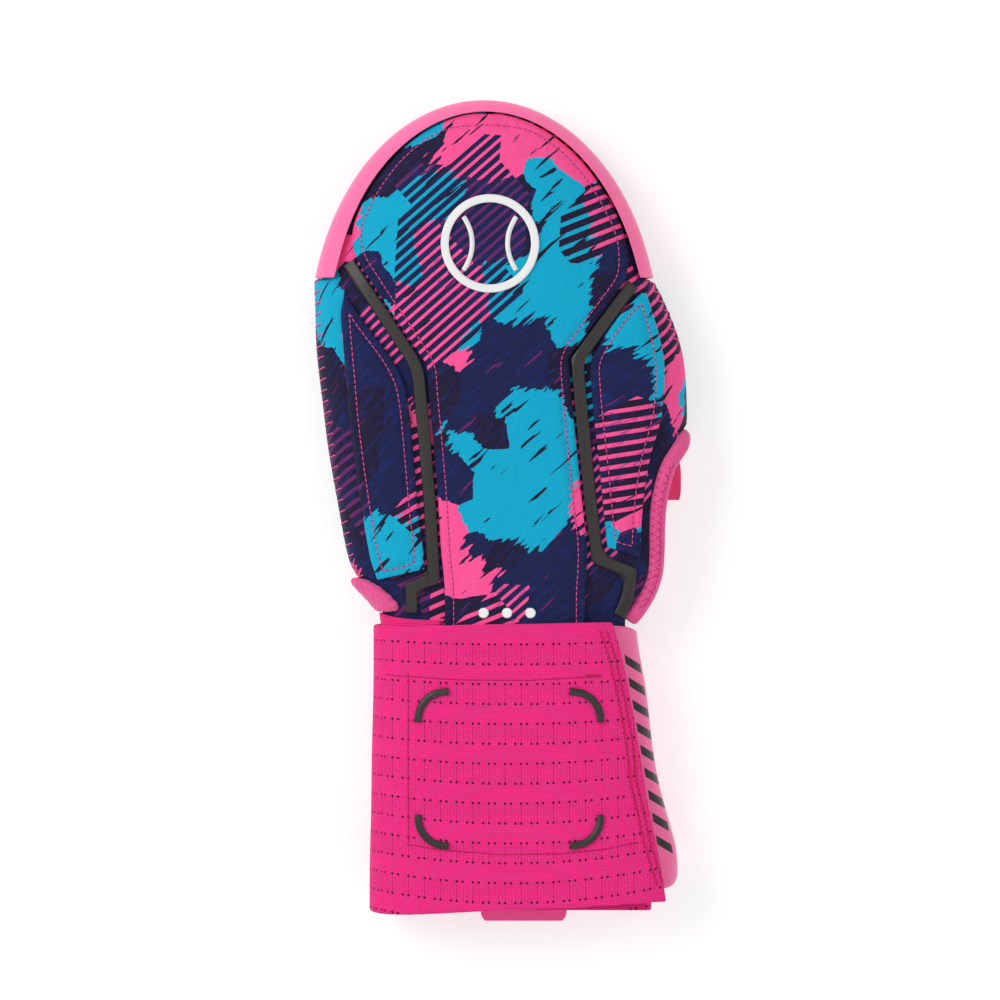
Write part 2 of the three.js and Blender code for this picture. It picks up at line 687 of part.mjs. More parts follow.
// Point on the cross-section of the mitt, grown outwards: angle 0 is the right seam, 90 degrees the back.
function tubePoint(y, angle, grow) {
  const roundness = Math.sin(angle) >= 0 ? BACK_ROUNDNESS : PALM_ROUNDNESS;
  const sides = coverSides(y);
  const half = (sides.right - sides.left) / 2 + grow;
  const rim = Math.sin(angle) >= 0 ? crownAt(y) + grow : palmAt(y) - grow;
  const along = Math.sign(Math.cos(angle)) * Math.abs(Math.cos(angle)) ** (2 / roundness);
  const rise = Math.abs(Math.sin(angle)) ** (2 / roundness);
  return [(sides.left + sides.right) / 2 + half * along, y, lerp(SEAM_HEIGHT, rim, rise)];
}

// Angle at which the grown cross-section reaches a given x on the back.
function tubeAngle(x, y, grow) {
  const sides = coverSides(y);
  const half = (sides.right - sides.left) / 2 + grow;
  const along = THREE.MathUtils.clamp((2 * x - sides.left - sides.right) / (2 * half), -0.999, 0.999);
  return Math.acos(Math.sign(along) * Math.abs(along) ** (BACK_ROUNDNESS / 2));
}

// The strap: a front layer over the back, folded round the left side to a palm layer underneath.
const LAYER_SEAT = 2 * CLEARANCE;
const FRONT_SEAT = LAYER_SEAT + Math.max(TAB_THICKNESS, ANCHOR_THICKNESS) + 1.4 * CLEARANCE;
const PALM_LAYER_END = 1.75 * Math.PI;
const STRAP_BOW = 4.7;

function strapSeat(y, angle) {
  const lift = (PANEL_TOP + CLEARANCE - FRONT_SEAT) * readTable(STRAP_LIFT, 'down', 'lift', yToDown(y));
  const front = FRONT_SEAT + Math.max(0, lift) * THREE.MathUtils.smoothstep(Math.sin(angle), 0.3, 0.85);
  const share = THREE.MathUtils.smoothstep(angle, 1.03 * Math.PI, 1.3 * Math.PI);
  return lerp(front, CLEARANCE, share);
}

// Strap edges bow towards the wrist in the middle of each layer.
function strapRowY(down, turn) {
  const bow = Math.sin(Math.PI * Math.min(1, turn * 1.35)) ** 2;
  const palmSide = THREE.MathUtils.smoothstep(turn, 0.6, 0.78);
  const sag = STRAP_BOW * lerp(0.35, 1, down) * Math.max(bow * (1 - palmSide), palmSide * 0.85 * down);
  return downToY(down) - sag;
}

function strapEndAngle(y) {
  const x = acrossToX(readTable(STRAP_END, 'down', 'across', yToDown(y)));
  return tubeAngle(x, y, FRONT_SEAT + STRAP_THICKNESS);
}

function strapFace(grow) {
  return (turn, down) => {
    const y = strapRowY(down, turn);
    const angle = lerp(strapEndAngle(downToY(down)), PALM_LAYER_END, turn);
    return tubePoint(y, angle, strapSeat(y, angle) + grow);
  };
}

const strapRows = [0, 0.1, 0.2, 0.32, 0.48, 0.64, 0.8, 0.92, 1];
addPiece(
  'wrist_strap',
  sheetGeometry(spread(0, 1, 28), strapRows, strapFace(STRAP_THICKNESS), strapFace(0)),
  pinkWebbing,
);

// Second layer of the strap, sewn to the back under the front layer; a sliver of it shows at the left.
function anchorFace(grow) {
  return (u, v) => {
    const topY = upToY(lerp(0.019, 0.004, Math.sin(u * Math.PI / 2)));
    const y = lerp(downToY(0.2), topY, v);
    const rightX = centrePanelX(-1, upToY(0)) - 2 * CLEARANCE;
    const angle = lerp(0.985 * Math.PI, tubeAngle(rightX, y, 0), u);
    return tubePoint(y, angle, LAYER_SEAT + grow);
  };
}

addPiece(
  'strap_anchor',
  sheetGeometry(spread(0, 1, 8), [0, 0.4, 0.7, 1], anchorFace(ANCHOR_THICKNESS), anchorFace(0)),
  pinkWebbing,
);

// Moulded tab on the strap's end: from under the front layer, round the right side, to under the palm layer.
const TAB_TUCK = 6;
const TAB_END_ANGLE = -0.42 * Math.PI;

function tabFace(grow) {
  return (u, v) => {
    const narrowing = THREE.MathUtils.smoothstep(u, 0.1, 0.6);
    const down = lerp(lerp(0.012, 0.05, narrowing), lerp(0.955, 0.87, narrowing), v);
    const y = downToY(down);
    const endX = acrossToX(readTable(STRAP_END, 'down', 'across', down)) - TAB_TUCK;
    const angle = lerp(tubeAngle(endX, y, LAYER_SEAT), TAB_END_ANGLE, u);
    const share = THREE.MathUtils.smoothstep(-angle, 0.02 * Math.PI, 0.2 * Math.PI);
    const seat = lerp(LAYER_SEAT, STRAP_THICKNESS + 2 * CLEARANCE, share);
    return tubePoint(y, angle, seat + grow);
  };
}

addPiece(
  'strap_end_tab',
  sheetGeometry(spread(0, 1, 13), [0, 0.08, 0.24, 0.4, 0.56, 0.7, 0.8, 0.9, 1], tabFace(TAB_THICKNESS), tabFace(0)),
  pinkRubber,
);

// Height of the strap's front face.
function strapHeight(x, y) {
  const angle = tubeAngle(x, y, FRONT_SEAT);
  const grow = strapSeat(y, angle) + STRAP_THICKNESS;
  return tubePoint(y, tubeAngle(x, y, grow), grow)[2];
}

for (const arc of STRAP_ARCS) {
  const x = acrossToX(arc.across);
  const y = downToY(arc.down);
  const line = arcLine(x, y, ARC_RADIUS, arc.facing - 52, arc.facing + 52, 6);
  const rungs = ribbonRungs(line, ARC_LINE);
  addPiece(arc.name, ribbonGeometry(rungs, strapHeight, CLEARANCE, RELIEF, [0, 0.5, 1]), blackRubber);
}

// Lining that peeps out at the wrist, a ring inside both covers.
function liningFace(inset) {
  return (angle, v) => {
    const skew = lerp(1.5, -2.5, (1 - Math.cos(angle)) / 2);
    const wristY = STRAP_BOTTOM_Y + skew;
    const y = lerp(wristY, WRIST_END_Y + LINING_LENGTH, v);
    return tubePoint(y, angle, -Math.max(BACK_WALL, PALM_WALL) - LINING_SEAT - inset);
  };
}

const liningAngles = spread(0, 2 * Math.PI, 24).slice(0, -1);
addPiece(
  'cuff_lining',
  sheetGeometry(liningAngles, [0, 0.3, 1], liningFace(0), liningFace(LINING_THICKNESS), true),
  pinkCloth,
);

// Pink gusset that closes the lower left corner of the hand.
const GUSSET_EDGE = [
  { up: 0.08, across: -0.766 },
  { up: 0.067, across: -0.69 },
  { up: 0.045, across: -0.6 },
  { up: 0.024, across: -0.56 },
];

function gussetFace(grow) {
  return (u, v) => {
    const up = lerp(GUSSET_EDGE[3].up, GUSSET_EDGE[0].up, v);
    const y = upToY(up);
    const rightX = acrossToX(readTable(GUSSET_EDGE, 'up', 'across', up));
    const angle = lerp(Math.PI, tubeAngle(rightX, y, 0), u);
    const round = Math.sin(Math.PI * lerp(0.12, 0.88, u)) ** 0.5;
    return tubePoint(y, angle, LAYER_SEAT + grow * round);
  };
}

addPiece(
  'cuff_binding',
  sheetGeometry(spread(0, 1, 7), [0, 0.25, 0.5, 0.75, 1], gussetFace(GUSSET_THICKNESS), gussetFace(0)),
  pinkCloth,
);

// Middle of the cover's wall at the edge of the thumb opening, on the back (1) or the palm (-1).
function thumbEdgePoint(side, up) {
  const y = upToY(up);
  const x = thumbEdgeX(y);
  const roundness = side > 0 ? BACK_ROUNDNESS : PALM_ROUNDNESS;
  const rim = side > 0 ? crownAt(y) - BACK_WALL / 2 : palmAt(y) + PALM_WALL / 2;
  const rise = domeShare(reachShare(x, y), roundness);
  return new THREE.Vector3(x, y, lerp(SEAM_HEIGHT, rim, rise));
}

// Direction straight out of the mitt at a point near its side.
function outwardAt(point) {
  const sides = coverSides(point.y);
  const half = (sides.right - sides.left) / 2;
  const u = (point.x - (sides.left + sides.right) / 2) / half;
  const drop = point.z - SEAM_HEIGHT;
  const height = drop >= 0 ? crownAt(point.y) - SEAM_HEIGHT : SEAM_HEIGHT - palmAt(point.y);
  const w = drop / height;
  return new THREE.Vector3(Math.abs(u) ** 3 / half, 0, Math.sign(w) * Math.abs(w) ** 2 / height).normalize();
}

// Binding round the thumb opening: up the back's edge, over the seam and down the palm's edge.
function thumbBindingGeometry() {
  const ups = [0.012, 0.04, 0.08, 0.13, 0.18, 0.23, 0.275, 0.31, 0.34, 0.36];
  const back = ups.map((up) => thumbEdgePoint(1, up));
  const apex = new THREE.Vector3(thumbEdgeX(THUMB_TOP_Y) - BACK_WALL / 2, THUMB_TOP_Y, SEAM_HEIGHT);
  const palm = [...ups].reverse().map((up) => thumbEdgePoint(-1, up));
  const path = new THREE.CatmullRomCurve3([...back, apex, ...palm], false, 'centripetal');
  const stations = spread(0, 1, 28);
  const face = (side) => (u, t) => {
    const point = path.getPointAt(t);
    const outward = outwardAt(point);
    const sideways = new THREE.Vector3().crossVectors(path.getTangentAt(t), outward).normalize();
    const round = 0.5 * BINDING_THICKNESS * Math.sqrt(Math.max(0.12, 1 - Math.abs(2 * u - 1) ** 2.5));
    point.addScaledVector(sideways, CLEARANCE + 0.3 + u * BINDING_WIDTH);
    point.addScaledVector(outward, side * round);
    return point.toArray();
  };
  return sheetGeometry([0, 0.25, 0.5, 0.75, 1], stations, face(1), face(-1));
}

addPiece('thumb_binding', thumbBindingGeometry(), pinkCloth);

// Solid between two heights over a plan grid, with its lower edges rounded off.
function padGeometry(plan, columns, rows, bottomZ, topZ, rounding) {
  const edge = (u, v) => Math.min(1, 6 * Math.min(u, 1 - u), 6 * Math.min(v, 1 - v));
  const top = (u, v) => [...plan(u, v), topZ];
  const bottom = (u, v) => [...plan(u, v), lerp(bottomZ + rounding, bottomZ, edge(u, v))];
  return sheetGeometry(columns, rows, top, bottom);
}

// Padded panel on the palm, on which the mitt lies: beside the thumb it leaves room, at the tip it is round.
function palmPadPlan(u, v) {
  const turn = 1.3 * Math.max(0, 2 * v - 1);
  const bodyY = lerp(upToY(0.14), TIP_CENTRE_Y, Math.min(1, 2 * v));
  const sides = coverSides(bodyY);
  const besideThumb = acrossToX(0.68);
  const openness = THREE.MathUtils.smoothstep(bodyY, upToY(0.2), upToY(0.44));
  const left = sides.left + PAD_INSET;
  const right = Math.min(sides.right - PAD_INSET, lerp(besideThumb, sides.right - PAD_INSET, openness));
  const x = TIP_AXIS_X + (lerp(left, right, u) - TIP_AXIS_X) * Math.cos(turn);
  return [x, bodyY + (TIP_HALF_LENGTH - PAD_INSET) * Math.sin(turn)];
}

const padShares = [0, 1 / 6, 0.33, 0.5, 0.67, 5 / 6, 1];
const padRows = [0, 1 / 6, 0.25, 0.33, 0.42, 0.5, 0.6, 0.7, 5 / 6, 0.88, 0.94, 1];
addPiece('palm_pad', padGeometry(palmPadPlan, padShares, padRows, 0, PAD_THICKNESS, 1.2), navyPrint);

// Glossy tab beside the thumb opening, held under the palm cover.
const THUMB_TAB_Z = HAND_PALM_Z + 3 * CLEARANCE;

function thumbTabPlan(u, v) {
  const outer = acrossToX(1.035);
  const corner = 1.6 * Math.max(0, Math.abs(2 * v - 1) - 0.6);
  return [lerp(acrossToX(0.86), outer - corner, u), lerp(upToY(0.233), upToY(0.308), v)];
}

// Moulded tab for pulling the mitt on, held under the strap at the wrist.
function pullTabPlan(u, v) {
  const corner = 0.9 * TAB_THICKNESS * Math.max(0, 1 - 6 * v) ** 2;
  const left = acrossToX(-0.111) + corner;
  const right = acrossToX(0.382) - corner;
  return [lerp(left, right, u), lerp(-MITT_LENGTH / 2, STRAP_BOTTOM_Y + 9, v)];
}

const tabShares = [0, 1 / 12, 1 / 6, 0.5, 5 / 6, 11 / 12, 1];
addPiece(
  'thumb_tab',
  padGeometry(thumbTabPlan, tabShares, tabShares, THUMB_TAB_Z - THUMB_TAB_THICKNESS, THUMB_TAB_Z, 0.5),
  darkPink,
);
addPiece('pull_tab', padGeometry(pullTabPlan, tabShares, tabShares, 0, TAB_THICKNESS, 0.4), pinkRubber);

export default mitt;
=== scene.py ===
import bpy
import bmesh
import math
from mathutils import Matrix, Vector, kdtree
from mathutils.bvhtree import BVHTree


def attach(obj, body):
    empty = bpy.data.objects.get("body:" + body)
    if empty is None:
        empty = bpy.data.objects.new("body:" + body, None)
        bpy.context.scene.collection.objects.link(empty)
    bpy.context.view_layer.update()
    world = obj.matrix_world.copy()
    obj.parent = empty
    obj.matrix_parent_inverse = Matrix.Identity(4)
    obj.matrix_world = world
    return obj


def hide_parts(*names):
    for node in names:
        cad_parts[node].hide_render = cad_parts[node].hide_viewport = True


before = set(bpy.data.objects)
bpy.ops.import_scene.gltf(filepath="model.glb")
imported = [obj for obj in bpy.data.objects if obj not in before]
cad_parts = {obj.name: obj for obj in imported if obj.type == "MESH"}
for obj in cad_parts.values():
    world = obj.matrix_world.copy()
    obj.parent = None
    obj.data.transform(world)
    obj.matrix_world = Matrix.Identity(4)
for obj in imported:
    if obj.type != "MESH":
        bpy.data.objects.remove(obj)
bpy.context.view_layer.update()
scene = bpy.context.scene

# Studio. The mitt lies palm down on a plain white sheet under broad soft lamps.
# The camera hangs straight above it on a long lens, as in a catalogue picture.
PICTURE_WIDTH = 0.365
CAMERA_HEIGHT = 4.0
CAMERA_Y = 0.004
FOCUS_HEIGHT = 0.012
SENSOR = 36.0
FLOOR_HALF = 3
FLOOR_GLOW = 0.55
SKY_STRENGTH = 0.43
WHITE = (1, 1, 1, 1)
LAMPS = [
    ("lamp_left", (-1.0, 0.5, 1.1), 1.0, 14.0),
    ("lamp_right", (1.0, 0.2, 1.3), 1.2, 5.5),
    ("lamp_foot", (0.1, -1.1, 1.1), 1.0, 4.5),
]


def srgb(red, green, blue):
    """Linear colour for a 0 to 255 screen colour."""
    parts = [value / 255 for value in (red, green, blue)]
    parts = [v / 12.92 if v <= 0.04045 else ((v + 0.055) / 1.055) ** 2.4 for v in parts]
    return (*parts, 1.0)


def placed(name, data):
    """New object in the scene."""
    thing = bpy.data.objects.new(name, data)
    scene.collection.objects.link(thing)
    return thing


camera = placed("camera", bpy.data.cameras.new("camera"))
camera.location = (0, CAMERA_Y, CAMERA_HEIGHT)
camera.data.sensor_width = SENSOR
camera.data.lens = SENSOR * (CAMERA_HEIGHT - FOCUS_HEIGHT) / PICTURE_WIDTH
scene.camera = camera

bm = bmesh.new()
bmesh.ops.create_grid(bm, x_segments=1, y_segments=1, size=FLOOR_HALF)
floor_mesh = bpy.data.meshes.new("floor")
bm.to_mesh(floor_mesh)
bm.free()
floor = placed("floor", floor_mesh)
floor_paint = bpy.data.materials.new("floor_paint")
floor_paint.use_nodes = True
floor_skin = floor_paint.node_tree.nodes["Principled BSDF"]
floor_skin.inputs["Base Color"].default_value = srgb(196, 196, 196)
floor_skin.inputs["Roughness"].default_value = 0.9
floor_skin.inputs["Emission Color"].default_value = WHITE
floor_skin.inputs["Emission Strength"].default_value = FLOOR_GLOW
floor_mesh.materials.append(floor_paint)

for name, place, size, power in LAMPS:
    lamp = placed(name, bpy.data.lights.new(name, "AREA"))
    lamp.location = place
    lamp.rotation_euler = Vector(place).to_track_quat("Z", "Y").to_euler()
    lamp.data.size = size
    lamp.data.energy = power

world = bpy.data.worlds.new("studio")
scene.world = world
world.use_nodes = True
sky = world.node_tree.nodes["Background"]
sky.inputs["Color"].default_value = WHITE
sky.inputs["Strength"].default_value = SKY_STRENGTH
scene.view_settings.view_transform = "Standard"


# Back cover. A navy stretch knit printed with ragged pink and cyan patches and slanted stripes,
# laid over foam and sewn to the palm cover along the sides. It is open at the wrist and the thumb.
NAVY = srgb(21, 28, 74)
DEEP_NAVY = srgb(27, 20, 52)
PRINT_PINK = srgb(252, 84, 152)
PRINT_CYAN = srgb(0, 168, 206)
PLUM = srgb(104, 34, 98)
ROYAL = srgb(26, 44, 118)
SIDE_START, SIDE_END = 0.044, 0.062
TOP_HEIGHT = 0.033
PATCH_SCALE = 36.0
FIELD_SCALE = 27.0
RAG_REACH = (0.024, 0.005, 0)
SWAY_REACH = (0.02, 0.02, 0)
WIDE_PITCH, FINE_PITCH = 0.0042, 0.0030
LINE_GAP = 0.62
PRINT_KNIT_PITCH, PRINT_KNIT_DEPTH = 0.0007, 0.00008
WELD = 2e-6
CLOTH_FRAMES = 20
CLOTH = {
    "vertex_group_mass": "sewn", "quality": 5, "mass": 0.02,
    "tension_stiffness": 8, "compression_stiffness": 8,
    "shear_stiffness": 3, "bending_stiffness": 0.3,
    "use_pressure": True, "uniform_pressure_force": 4,
}
CORNER_X, CORNER_Y, CORNER_EASE = 0.050, -0.105, 0.02


def put(tree, kind, links=(), **settings):
    """New node with its settings, and its inputs linked to outputs or set to values."""
    node = tree.nodes.new(kind)
    for key, value in settings.items():
        setattr(node, key, value)
    for socket, source in links:
        if isinstance(source, bpy.types.NodeSocket):
            tree.links.new(source, node.inputs[socket])
        else:
            node.inputs[socket].default_value = source
    return node


def finish(name, colour, roughness, sheen=0.0, specular=0.5):
    """Material with a colour, roughness and sheen; gives its node tree and shader too."""
    material = bpy.data.materials.new(name)
    material.use_nodes = True
    skin = material.node_tree.nodes["Principled BSDF"]
    skin.inputs["Base Color"].default_value = colour
    skin.inputs["Roughness"].default_value = roughness
    skin.inputs["Sheen Weight"].default_value = sheen
    skin.inputs["Specular IOR Level"].default_value = specular
    return material, material.node_tree, skin


def sums(tree, operation, first, second=0.0, third=0.0):
    """Output of a math node."""
    links = [(0, first), (1, second), (2, third)]
    return put(tree, "ShaderNodeMath", links, operation=operation).outputs[0]


def arrows(tree, operation, first, second):
    """Output of a vector math node; to scale takes a number as its second."""
    socket = "Scale" if operation == "SCALE" else 1
    links = [(0, first), (socket, second)]
    return put(tree, "ShaderNodeVectorMath", links, operation=operation).outputs[0]


def blend(tree, share, first, second, mode="MIX"):
    """Colour output of a mix of two colours."""
    links = [(0, share), (6, first), (7, second)]
    return put(tree, "ShaderNodeMix", links, data_type="RGBA", blend_type=mode).outputs[2]


def bump(tree, skin, height, distance, strength=1.0):
    """Fine relief on a shader."""
    links = [("Height", height), ("Distance", distance), ("Strength", strength)]
    node = put(tree, "ShaderNodeBump", links)
    tree.links.new(node.outputs[0], skin.inputs["Normal"])


def object_place(tree):
    """Place on the piece, in metres."""
    return put(tree, "ShaderNodeTexCoord").outputs["Object"]


def split(tree, place):
    """The x, y and z of a place."""
    return put(tree, "ShaderNodeSeparateXYZ", [(0, place)]).outputs


def laid(tree, place, shift=(0, 0, 0), turn=0.0, scale=(1, 1, 1)):
    """A place shifted, turned about z and scaled."""
    links = [(0, place), ("Location", shift), ("Rotation", (0, 0, turn)), ("Scale", scale)]
    return put(tree, "ShaderNodeMapping", links).outputs[0]


def noise(tree, place, scale, detail=2.0):
    """Soft noise: its grey output, then its coloured one."""
    links = [("Vector", place), ("Scale", scale), ("Detail", detail)]
    return put(tree, "ShaderNodeTexNoise", links).outputs


def cells(tree, place, scale, distance):
    """The three random numbers of each cell of a Voronoi pattern."""
    links = [("Vector", place), ("Scale", scale)]
    pattern = put(tree, "ShaderNodeTexVoronoi", links, distance=distance)
    return put(tree, "ShaderNodeSeparateColor", [(0, pattern.outputs["Color"])]).outputs


def mapped(tree, value, low=0.0, high=1.0, start=0.0, stop=1.0):
    """A value between start and stop brought to between low and high."""
    links = [(0, value), (1, start), (2, stop), (3, low), (4, high)]
    return put(tree, "ShaderNodeMapRange", links).outputs[0]


def toned(tree, colour, tone):
    """A colour made lighter or darker by a tone."""
    shade = put(tree, "ShaderNodeCombineColor", [(0, tone), (1, tone), (2, tone)]).outputs[0]
    return blend(tree, 1.0, colour, shade, "MULTIPLY")


def stripes(tree, across, pitch):
    """1 on the lines of a striped field and 0 between them."""
    phase = sums(tree, "FRACT", sums(tree, "MULTIPLY", across, 1 / pitch))
    return sums(tree, "GREATER_THAN", phase, LINE_GAP)


def knit_relief(tree, place, pitch):
    """Height of a fine knit: small loops in columns."""
    parts = split(tree, place)
    along = sums(tree, "SINE", sums(tree, "MULTIPLY", parts[0], 2 * math.pi / pitch))
    rows = sums(tree, "SINE", sums(tree, "MULTIPLY", parts[1], 2 * math.pi / (0.8 * pitch)))
    return sums(tree, "MULTIPLY_ADD", along, 0.5, sums(tree, "MULTIPLY", rows, 0.5))


def unrolled(tree, place):
    """Place on the flat cloth: beyond the top face the print runs on down the sides."""
    spots = split(tree, place)
    reach = sums(tree, "ABSOLUTE", spots[0])
    far = mapped(tree, reach, start=SIDE_START, stop=SIDE_END)
    side = sums(tree, "MULTIPLY", sums(tree, "SIGN", spots[0]), far)
    below_top = sums(tree, "SUBTRACT", TOP_HEIGHT, spots[2])
    round_side = sums(tree, "MULTIPLY_ADD", side, below_top, spots[0])
    return put(tree, "ShaderNodeCombineXYZ", [(0, round_side), (1, spots[1])]).outputs[0]


def torn(tree, roll):
    """Place on the roll, pushed about so that the patches get brushed, ragged edges."""
    centre = (0.5, 0.5, 0.5)
    bristles = noise(tree, laid(tree, roll, scale=(70, 620, 1)), 1.0, 3.0)[1]
    drift = noise(tree, roll, 26.0, 1.5)[1]
    rag = arrows(tree, "MULTIPLY", arrows(tree, "SUBTRACT", bristles, centre), RAG_REACH)
    calm = mapped(tree, noise(tree, roll, 38.0, 0.5)[0], 0.05, 1.0, 0.42, 0.6)
    rag = arrows(tree, "SCALE", rag, calm)
    sway = arrows(tree, "MULTIPLY", arrows(tree, "SUBTRACT", drift, centre), SWAY_REACH)
    return arrows(tree, "ADD", arrows(tree, "ADD", roll, rag), sway)


def printed_knit(name, shift, turn, cyan_share=0.2, pink_share=0.24):
    """Printed cloth: every panel is cut from another place on the roll, by its shift and turn; the
    faces turned towards the wrist are painted deep navy as painted shade.
    """
    material, tree, skin = finish(name, NAVY, 0.75, sheen=0.04, specular=0.2)
    place = object_place(tree)
    roll = laid(tree, unrolled(tree, place), shift=shift, turn=turn)
    chance = cells(tree, torn(tree, roll), PATCH_SCALE, "MANHATTAN")
    cyan = sums(tree, "LESS_THAN", chance[0], cyan_share)
    pink = sums(tree, "GREATER_THAN", chance[0], 1 - pink_share)
    colour = blend(tree, cyan, NAVY, PRINT_CYAN)
    colour = blend(tree, pink, colour, PRINT_PINK)
    ground = blend(tree, sums(tree, "GREATER_THAN", chance[2], 0.5), NAVY, DEEP_NAVY)
    painted = sums(tree, "MAXIMUM", cyan, pink)
    colour = blend(tree, painted, ground, colour)

    parts = split(tree, roll)
    wide_line = stripes(tree, sums(tree, "MULTIPLY_ADD", parts[0], 0.35, parts[1]), WIDE_PITCH)
    fine_line = stripes(tree, parts[1], FINE_PITCH)
    lot = cells(tree, roll, FIELD_SCALE, "CHEBYCHEV")
    bare_lines = blend(tree, sums(tree, "GREATER_THAN", lot[1], 0.45), PLUM, PRINT_PINK)
    line_paint = blend(tree, painted, bare_lines, colour)
    wide_field = sums(tree, "GREATER_THAN", lot[0], 0.76)
    fine_field = sums(tree, "LESS_THAN", lot[0], 0.12)
    striped = blend(tree, wide_line, DEEP_NAVY, line_paint)
    colour = blend(tree, wide_field, colour, striped)
    striped = blend(tree, fine_line, NAVY, line_paint)
    colour = blend(tree, fine_field, colour, striped)

    strokes = noise(tree, laid(tree, roll, turn=0.5, scale=(48, 400, 1)), 1.0)[0]
    dark_stroke = blend(tree, painted, colour, DEEP_NAVY)
    colour = blend(tree, sums(tree, "GREATER_THAN", strokes, 0.635), colour, dark_stroke)
    plum_stroke = blend(tree, painted, PLUM, colour)
    colour = blend(tree, sums(tree, "LESS_THAN", strokes, 0.325), colour, plum_stroke)
    off_middle = sums(tree, "ABSOLUTE", sums(tree, "SUBTRACT", strokes, 0.45))
    swept = sums(tree, "LESS_THAN", off_middle, 0.022)
    royal_stroke = blend(tree, painted, ROYAL, colour)
    colour = blend(tree, sums(tree, "MULTIPLY", swept, 0.45), colour, royal_stroke)

    dye = noise(tree, place, 900.0)[0]
    colour = toned(tree, colour, sums(tree, "MULTIPLY_ADD", dye, 0.28, 0.86))
    # Painted shade: the faces turned towards the wrist are painted deep navy, so that side of each
    # panel reads darker.
    facing = split(tree, put(tree, "ShaderNodeNewGeometry").outputs["Normal"])
    wrist_side_shade = sums(tree, "LESS_THAN", facing[1], -0.8)
    colour = blend(tree, wrist_side_shade, colour, DEEP_NAVY)
    tree.links.new(colour, skin.inputs["Base Color"])
    bump(tree, skin, knit_relief(tree, place, PRINT_KNIT_PITCH), PRINT_KNIT_DEPTH)
    return material


def baked(piece):
    """Applies a piece's modifiers and turns on smooth shading."""
    bpy.context.view_layer.update()
    graph = bpy.context.evaluated_depsgraph_get()
    shape = bpy.data.meshes.new_from_object(piece.evaluated_get(graph))
    piece.modifiers.clear()
    piece.data = shape
    shape.shade_smooth()
    return piece


def subdivided(piece, levels):
    """Smooths a piece by subdivision and applies it."""
    smoothing = piece.modifiers.new("smoothing", "SUBSURF")
    smoothing.levels = levels
    smoothing.render_levels = levels
    return baked(piece)


def worked_copy(node, name, crease=0.75, sharp=50, levels=2):
    """The solid's form as a clean mesh of quads where they pair up, smoothed by subdivision."""
    bm = bmesh.new()
    bm.from_mesh(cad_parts[node].data)
    bmesh.ops.remove_doubles(bm, verts=bm.verts, dist=WELD)
    bmesh.ops.join_triangles(
        bm, faces=bm.faces, angle_face_threshold=0.8, angle_shape_threshold=2.0)
    layer = bm.edges.layers.float.new("crease_edge")
    for edge in bm.edges:
        if edge.calc_face_angle(0.0) > math.radians(sharp):
            edge[layer] = crease
    mesh = bpy.data.meshes.new(name)
    bm.to_mesh(mesh)
    bm.free()
    return subdivided(placed(name, mesh), levels)


def swelled(piece, distance, wrinkle=0.0):
    """Moves a soft surface out along its normals, in slow uneven waves where it wrinkles."""
    moves = []
    for vertex in piece.data.vertices:
        x, y, z = vertex.co * 1000
        wave = math.sin(0.9 * x + 0.5 * y)
        wave = wave + 0.6 * math.sin(1.7 * y - 0.8 * x + z) + 0.4 * math.sin(2.9 * x + 1.3 * z)
        moves.append(vertex.normal * (distance + wrinkle * wave))
    for vertex, move in zip(piece.data.vertices, moves):
        vertex.co += move
    return piece


def puffed(piece, cap):
    """Cloth simulation of a pad's fill: pressure swells its free face, the rest stays sewn down."""
    mesh = piece.data
    rest = [vertex.co.copy() for vertex in mesh.vertices]
    sewn = piece.vertex_groups.new(name="sewn")
    held_down = [vertex.index for vertex in mesh.vertices if vertex.normal.z < 0.35]
    sewn.add(held_down, 1.0, "REPLACE")
    cloth = piece.modifiers.new("cloth", "CLOTH")
    for key, value in CLOTH.items():
        setattr(cloth.settings, key, value)
    cloth.settings.effector_weights.gravity = 0
    cloth.collision_settings.use_collision = False
    cloth.point_cache.frame_start = 1
    cloth.point_cache.frame_end = CLOTH_FRAMES
    for number in range(1, CLOTH_FRAMES + 1):
        scene.frame_set(number)
    held = piece.evaluated_get(bpy.context.evaluated_depsgraph_get()).data
    moves = [held.vertices[i].co - place for i, place in enumerate(rest)]
    piece.modifiers.clear()
    piece.vertex_groups.clear()
    scene.frame_set(1)
    for vertex, place, move in zip(mesh.vertices, rest, moves):
        vertex.co = place + move * min(1.0, cap / max(move.length, 1e-9))
    return subdivided(piece, 1)


def narrowed(piece):
    """Eases the right corner of the sleeve end inwards, so the strap's end tab covers it."""
    for vertex in piece.data.vertices:
        x, y = vertex.co.x, vertex.co.y
        if x > CORNER_X and y < CORNER_Y:
            ease = min(1.0, (CORNER_Y - y) / CORNER_EASE)
            vertex.co.x = x - (x - CORNER_X) * 0.5 * ease
    return piece


def fit(piece, material, *nodes):
    """Gives a piece its material and lets it stand for its solids."""
    piece.data.materials.clear()
    piece.data.materials.append(material)
    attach(piece, "root")
    if nodes:
        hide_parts(*nodes)
    return piece


back_print = printed_knit("back_print", (0.31, 0.12, 0), -0.75, cyan_share=0.06, pink_share=0.2)
back_cover = narrowed(swelled(worked_copy("back_shell", "back_cover"), 0.0003))
fit(back_cover, back_print, "back_shell")


